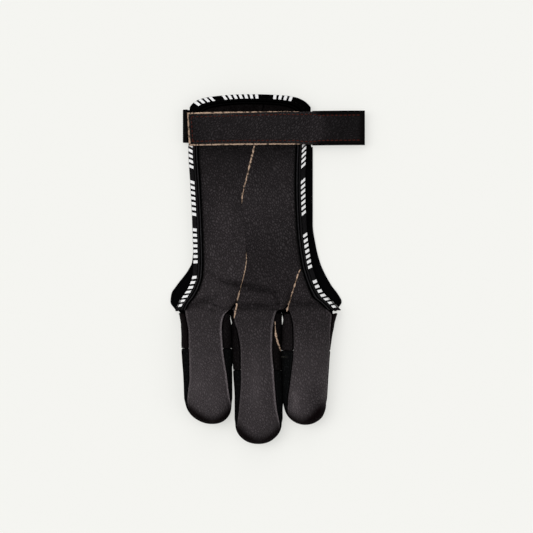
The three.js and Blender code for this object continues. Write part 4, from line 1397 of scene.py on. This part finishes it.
def strap_leather():
    """The strap's leather: a low pillow with a pressed seam, darker at the free end's border."""
    x, v = ribbon_net(LEATHER_LEFT, LEATHER_RIGHT, 240, 46, 0.6)
    below, above = strap_span(x)
    half = (below + above) / 2
    grid = ribbon_points(x, v, half, strap_base(x) + STRAP_THICKNESS)
    grid[..., 1] += (above - below) / 2
    grid[..., 0] -= end_slant(x, v)
    inside = (1 - np.abs(v)) * (below + above) / 2
    seam = np.maximum(bell((inside - SEAM_INSET) / 0.4),
                      bell((x - LEATHER_LEFT - SEAM_INSET) / 0.4))
    free = smooth((x - PALM_RIGHT) / 8)
    border = smooth((inside - 0.3) / 2.4) * smooth((LEATHER_RIGHT - x - 0.6) / 3.4)
    # Painted light and shade along the strap's bends, darker at the free end's border.
    light = STRAP_PAINTED_LIGHT(x) * mix(1, border, free)
    pillow = 0.25 * (1 - np.abs(v) ** 6)
    grain = 0.07 * lumps(x - 0.75 * grid[..., 1], (grid[..., 1] + x) / 3, 1.9, 21)
    slow = 0.12 * lumps(x, grid[..., 1], 8.0, 22)
    curl = 0.5 * smooth((x - LEATHER_RIGHT + 2.6) / 2.6)
    relief = pillow - 0.25 + grain + slow - 0.16 * seam - curl
    return shell_piece("strap_leather", grid, 1.0, "strap_leather", ["strap"], soft=0.5,
                       relief=relief, marks={"light": light, "tip": 0.4 * free * (1 - border)})


def strap_layers():
    """The strap's lower layer: black cloth under its free end and raw leather under the rest."""
    half = STRAP_WIDTH / 2
    raw_end = PALM_RIGHT - 0.5
    x, v = ribbon_net(raw_end, STRAP_RIGHT - 0.15, 60, 12, 0.3)
    grid = ribbon_points(x, v, half - 0.05, strap_base(x) + LAYER_TOP)
    shell_piece("strap_lining", grid, 1.1, "hook", soft=0.2)
    x = mix(STRAP_LEFT + 0.1, raw_end, clustered(220, raw_end - STRAP_LEFT, 0.4))[:, None]
    v = (2 * clustered(20, STRAP_WIDTH, 0.4) - 1)[None, :]
    ragged = half + 0.1 * lumps(x, 0 * x, 0.9, 9) - 0.05
    hidden = 0.5 * smooth((x - PALM_RIGHT + 8) / 6)
    grid = ribbon_points(x, v, ragged - hidden, strap_base(x) + LAYER_TOP)
    grid[..., 0] -= end_slant(x, v)
    shell_piece("strap_raw_layer", grid, 0.8, "raw_edge", soft=0.25)


def strap_stitches():
    """The stitched line along both of the strap's edges and its sewn end."""
    sizes = bpy.context.scene.glove_sizes
    half = STRAP_WIDTH / 2
    pitch = sizes.stitch_pitch / MM
    middles, ways = [], []
    for sign in (-1, 1):
        along = np.arange(LEATHER_LEFT + 2.6, LEATHER_RIGHT - 1.2, pitch)
        reach = strap_span(along)[(sign + 1) // 2] - SEAM_INSET
        middles.append(ribbon_points(along, sign, reach, strap_base(along) + STRAP_THICKNESS))
        ways.append(np.tile([1.0, 0, 0], (len(along), 1)))
    down = np.arange(-half + 3.6, half - 3.0, pitch)
    at = LEATHER_LEFT + SEAM_INSET - 0.6 * down / half
    level = np.full_like(down, float(strap_base(LEATHER_LEFT + SEAM_INSET)) + STRAP_THICKNESS)
    middles.append(np.stack([at, STRAP_HEIGHT - STRAP_TILT / 2 + down, level], -1))
    ways.append(np.tile([0, 1.0, 0], (len(down), 1)))
    middles, ways = np.concatenate(middles), np.concatenate(ways)
    return stitch_piece("strap_stitches", middles - UP * 0.14, ways,
                        np.broadcast_to(UP, ways.shape), "thread", sizes.stitch_length / MM,
                        sizes.thread / MM)


def hook_pad():
    """The hook pad under the strap's free end: a thin plate with rows of small pegs below it."""
    half = STRAP_WIDTH / 2 + PAD_PROUD
    right = STRAP_RIGHT - 0.1
    x, v = ribbon_net(PAD_LEFT, right, 60, 20, 0.4, 2 * half)
    grid = ribbon_points(x, v, half, strap_base(x) - SEAM_GAP)
    plate = shell_piece("hook_pad_plate", grid, 0.8, "hook", ["hook_pad"], soft=0.3)
    px, pv = np.meshgrid(np.arange(PAD_LEFT + 1, right - 0.8, 1.5), np.arange(-half + 1, half, 1.5))
    foot = ribbon_points(px.ravel(), pv.ravel() / half, half, strap_base(px.ravel()) - 1.05)
    turn = np.linspace(0, 2 * np.pi, 6, endpoint=False)
    depth, radius = np.array([0.1, -0.3, -0.6]), np.array([0.22, 0.2, 0.36])
    ring = np.stack([radius[:, None] * np.cos(turn), radius[:, None] * np.sin(turn),
                     depth[:, None] + 0 * turn], -1)
    pegs = foot[:, None, None] + ring[None]
    faces = repeated(tube_faces(3, 6), len(foot), 3 * 6)
    mesh_piece("hook_pad_pegs", pegs.reshape(-1, 3), faces, "hook")
    return plate


def wrist_band():
    """The ribbed elastic band: from the strap's left end down round the side and under the back."""
    pitch = bpy.context.scene.glove_sizes.rib_pitch / MM
    top = float(strap_base(STRAP_LEFT)) + STRAP_THICKNESS / 2
    radius = (top - BAND_THICKNESS / 2) / 2
    turn_x = float(open_left(STRAP_HEIGHT)) - BAND_REACH + radius
    start = math.asin(min(1, max(0, (turn_x - STRAP_LEFT + SEAM_GAP) / radius)))
    end = float(open_right(STRAP_HEIGHT)) - 1
    outer = radius + BAND_THICKNESS / 2
    angle = np.linspace(start, np.pi, 60)
    flat = np.linspace(turn_x, end, 90)[1:]
    x = np.concatenate([turn_x - outer * np.sin(angle), flat])[:, None]
    z = np.concatenate([outer + outer * np.cos(angle), 0 * flat])[:, None]
    u = clustered(90, BAND_WIDTH, 0.4)[None, :]
    y = BAND_MIDDLE + BAND_WIDTH * (0.5 - u)
    grid = np.stack(np.broadcast_arrays(x, y, np.maximum(z, 0)), -1)
    ribs = -0.07 * (1 - np.cos(2 * np.pi * u * BAND_WIDTH / pitch))
    return shell_piece("wrist_band_elastic", grid, BAND_THICKNESS, "elastic", ["wrist_band"],
                       soft=0.35, relief=ribs + 0 * x)


def raw_bead(name, x, y, z, width, height, seed):
    """A ragged bead of raw edge along a line of points: a low arch whose width wanders.

    Its section is a flat half circle of eight points on a foot of two that is sunk.
    """
    line = np.stack([x, y, z], -1)
    side = unit(np.cross(unit(np.gradient(line, axis=0)), UP))
    run = steps_of(line[None], 1)[0][0]
    ragged = width * (1 + 0.35 * lumps(run, 0 * run, 0.8, seed)) / 2
    off = 0.12 * lumps(run, 0 * run, 2.2, seed + 1)
    turn = np.linspace(0, np.pi, 8)
    out = np.cos(turn)[None, :] * ragged[:, None] + off[:, None]
    lift = np.sin(turn)[None, :] * (height * clamp(width / 0.5))[:, None]
    crown = line[:, None] + side[:, None] * out[..., None] + UP * lift[..., None]
    foot = crown[:, [-1, 0]] - UP * 0.5
    return tube_piece(name, np.concatenate([crown, foot], 1), "raw_edge")


FORK_TOP = 9  # where a palm seam turns straight down into its fork


def palm_seam(side, y, seam, fork_lean, left, right, show, sewn, thin, seed):
    """The raw edge along a palm seam: `show` wide where it is `sewn`, thinner and sunk elsewhere.

    Below `FORK_TOP` it runs straight, at the lean `fork_lean`.
    """
    x = seam(np.maximum(y, FORK_TOP)) + fork_lean * np.minimum(y - FORK_TOP, 0)
    z = np.minimum(front_top(left, x - 0.6, y), front_top(right, x + 0.6, y))
    z = np.where(y < 4, front_top(right, x, y), z)
    raw_bead(f"{side}_seam_raw_edge", x, y, z - 0.02, show(y) * mix(thin, 1, sewn),
             0.34 * sewn - 0.3 * (1 - sewn), seed)


def raw_seams():
    """The raw leather edges that show along the two palm seams."""
    y = np.linspace(98.4, -5.0, 700)
    show = track([-5, -3, 0, 8, 15, 24, 33, 35, 63.5, 65, 68, 80, 92, 98],
                 [0.4, 0.9, 1.1, 0.85, 0.65, 0.55, 0.5, 0, 0, 0.6, 0.85, 0.95, 1.0, 0.9])
    dashed = smooth((lumps(y, 0 * y, 1.0, 61) + 0.2) / 0.3)
    sewn = mix(1, dashed, smooth((y - 8) / 6) * smooth((84 - y) / 10))
    palm_seam("inner", y, inner_seam, 0.19, INDEX, MIDDLE, show, sewn, 0.45, 71)
    y = np.linspace(24.5, -1.0, 220)
    show = track([-1, 0.5, 6, 12, 18, 24.5], [0.7, 1.1, 1.25, 1.05, 0.85, 0.6])
    sewn = smooth((lumps(y, 0 * y, 1.3, 63) + 0.4) / 0.3)
    palm_seam("outer", y, outer_seam, 0.29, MIDDLE, RING, show, sewn, 0.5, 81)


def side_details():
    """The raw edge beside the middle finger and the small stitches on the ring finger's side."""
    y = np.linspace(-6.8, -25.4, 130)
    x = track([-25.4, -22, -14.6, -6.8], [18.1, 17.1, 15.2, 14.8])(y)
    angle = angle_at(clamp(between(x, *sides_at(MIDDLE, y))))
    line = section(MIDDLE, y[:, None], angle[:, None])[:, 0]
    show = track([-25.4, -24, -15, -13, -11.5, -6.8], [0.4, 1.2, 1.25, 0.8, 0.4, 0.45])
    raw_bead("middle_side_raw_edge", line[:, 0] + 0.3, y, line[:, 2] + 0.6, show(y), 0.5, 91)
    angle = -np.linspace(1.35, 0.86, 6)
    spot = section(RING, -28.0, angle)
    ways = unit(section(RING, -28.0, angle + 0.01) - spot)
    ups = np.cross(ways, np.array([0, 1.0, 0]))
    stitch_piece("ring_side_stitches", spot + ups * 0.85, ways, ups, "side_thread", 0.5, 0.26)


# Stage


FLOOR_REACH = 6.0  # metres from the glove to the floor's edge
# The soft suns: name, the direction they shine from, strength and breadth in degrees.
SUNS = [
    ("key", (-0.42, 0.28, 1.0), 1.2, 45), ("left", (-1.0, 0.1, 0.9), 0.5, 40),
    ("right", (1.0, -0.1, 0.9), 0.5, 40), ("wrist", (0.0, 1.0, 0.8), 0.4, 40),
]


def floor_and_light():
    """A plain pale floor, a soft even world and four soft suns."""
    colours = bpy.context.scene.glove_colours
    mesh = bpy.data.meshes.new("floor")
    corners = [(x * FLOOR_REACH, y * FLOOR_REACH, 0) for x, y in ((-1, -1), (1, -1), (1, 1), (-1, 1))]
    mesh.from_pydata(corners, [], [(0, 1, 2, 3)])
    mesh.materials.append(floor_material(colours))
    floor = bpy.data.objects.new("floor", mesh)
    bpy.context.scene.collection.objects.link(floor)

    world = bpy.data.worlds.new("soft_studio")
    bpy.context.scene.world = world
    world.use_nodes = True
    sky = world.node_tree.nodes["Background"]
    sky.inputs["Color"].default_value = (1, 1, 1, 1)
    sky.inputs["Strength"].default_value = 0.36
    for name, toward, strength, spread in SUNS:
        add_sun(name, toward, strength, spread)


def add_sun(name, toward, strength, spread):
    """A soft sun that shines from the direction `toward`, `spread` degrees wide."""
    lamp = bpy.data.lights.new(name, "SUN")
    lamp.energy = strength
    lamp.angle = math.radians(spread)
    made = bpy.data.objects.new(name, lamp)
    made.rotation_euler = Vector(toward).to_track_quat("Z", "Y").to_euler()
    bpy.context.scene.collection.objects.link(made)


VIEW_MIDDLE = (9.9, 26.1)  # place on the glove at the middle of the picture
VIEW_WIDTH = 319.8  # of the picture, at the leather's height
VIEW_LEVEL = 8.0


def camera_above():
    """A long lens straight above the glove, over `VIEW_MIDDLE`, that sees `VIEW_WIDTH` there."""
    lens = bpy.data.cameras.new("camera")
    lens.lens = 180
    lens.sensor_width = 36
    made = bpy.data.objects.new("camera", lens)
    height = VIEW_LEVEL + VIEW_WIDTH * lens.lens / lens.sensor_width
    made.location = (np.array([*VIEW_MIDDLE, height]) + SHIFT) * MM
    bpy.context.scene.collection.objects.link(made)
    bpy.context.scene.camera = made
    bpy.context.scene.view_settings.view_transform = "Standard"


# Operators


class BuildStep:
    """What the glove's operators share: each calls its own building functions in turn."""

    def execute(self, context):
        for build, *values in self.steps:
            build(*values)
        return {"FINISHED"}


class GLOVE_OT_leather_fronts(BuildStep, bpy.types.Operator):
    """Build the three leather fronts over the fingers and the palm"""

    bl_idname = "glove.leather_fronts"
    bl_label = "Leather fronts"
    steps = [(front_piece, finger) for finger in FINGERS]


class GLOVE_OT_side_strips(BuildStep, bpy.types.Operator):
    """Build the six leather strips down the sides of the fingers"""

    bl_idname = "glove.side_strips"
    bl_label = "Side strips"
    steps = [(side_strip, finger, right) for finger in FINGERS for right in (False, True)]


class GLOVE_OT_elastic_backs(BuildStep, bpy.types.Operator):
    """Build the three elastic backs round the fingertips"""

    bl_idname = "glove.elastic_backs"
    bl_label = "Elastic backs"
    steps = [(elastic_back, finger) for finger in FINGERS]


class GLOVE_OT_wrist_band(BuildStep, bpy.types.Operator):
    """Build the elastic wrist band"""

    bl_idname = "glove.wrist_band"
    bl_label = "Wrist band"
    steps = [(wrist_band,)]


class GLOVE_OT_back(BuildStep, bpy.types.Operator):
    """Build the fabric back and its two bound rims"""

    bl_idname = "glove.back"
    bl_label = "Back and rims"
    steps = [(back_panel,), (back_rim, "left"), (back_rim, "right")]


class GLOVE_OT_front_tape(BuildStep, bpy.types.Operator):
    """Build the binding tape with its bars and stitches"""

    bl_idname = "glove.front_tape"
    bl_label = "Binding tape"
    steps = [(front_tape,), (tape_bars,), (tape_stitches,)]


class GLOVE_OT_strap(BuildStep, bpy.types.Operator):
    """Build the strap with its raw layer, its stitches and the hook pad under its free end"""

    bl_idname = "glove.strap"
    bl_label = "Strap and hook pad"
    steps = [(strap_leather,), (strap_layers,), (strap_stitches,), (hook_pad,)]


class GLOVE_OT_raw_seams(BuildStep, bpy.types.Operator):
    """Build the raw leather edges that show along the seams"""

    bl_idname = "glove.raw_seams"
    bl_label = "Raw seams"
    steps = [(raw_seams,), (side_details,)]


class GLOVE_OT_stage(BuildStep, bpy.types.Operator):
    """Set the pale floor, the soft light and the camera straight above"""

    bl_idname = "glove.stage"
    bl_label = "Stage"
    steps = [(floor_and_light,), (camera_above,)]


class GLOVE_PT_sidebar(bpy.types.Panel):
    """The glove's sizes, colours and building steps"""

    bl_idname = "GLOVE_PT_sidebar"
    bl_label = "Archery glove"
    bl_space_type = "VIEW_3D"
    bl_region_type = "UI"
    bl_category = "Glove"

    def draw(self, context):
        layout = self.layout
        scene = context.scene
        for group, kind in ((scene.glove_sizes, GloveSizes), (scene.glove_colours, GloveColours)):
            box = layout.box()
            for key in kind.__annotations__:
                box.prop(group, key)
        for operator in OPERATORS:
            layout.operator(operator.bl_idname)


OPERATORS = (
    GLOVE_OT_leather_fronts,
    GLOVE_OT_side_strips,
    GLOVE_OT_elastic_backs,
    GLOVE_OT_wrist_band,
    GLOVE_OT_back,
    GLOVE_OT_front_tape,
    GLOVE_OT_strap,
    GLOVE_OT_raw_seams,
    GLOVE_OT_stage,
)
CLASSES = (GloveSizes, GloveColours, *OPERATORS, GLOVE_PT_sidebar)


def register():
    """Registers the classes and hangs the two property groups on the scene."""
    for cls in CLASSES:
        bpy.utils.register_class(cls)
    bpy.types.Scene.glove_sizes = bpy.props.PointerProperty(type=GloveSizes)
    bpy.types.Scene.glove_colours = bpy.props.PointerProperty(type=GloveColours)


def unregister():
    """Takes back all that register added."""
    del bpy.types.Scene.glove_colours
    del bpy.types.Scene.glove_sizes
    for cls in reversed(CLASSES):
        bpy.utils.unregister_class(cls)


def main():
    """Builds the whole glove and its stage."""
    register()
    for operator in OPERATORS:
        getattr(bpy.ops.glove, operator.bl_idname.split(".")[1])()


if __name__ == "__main__":
    main()
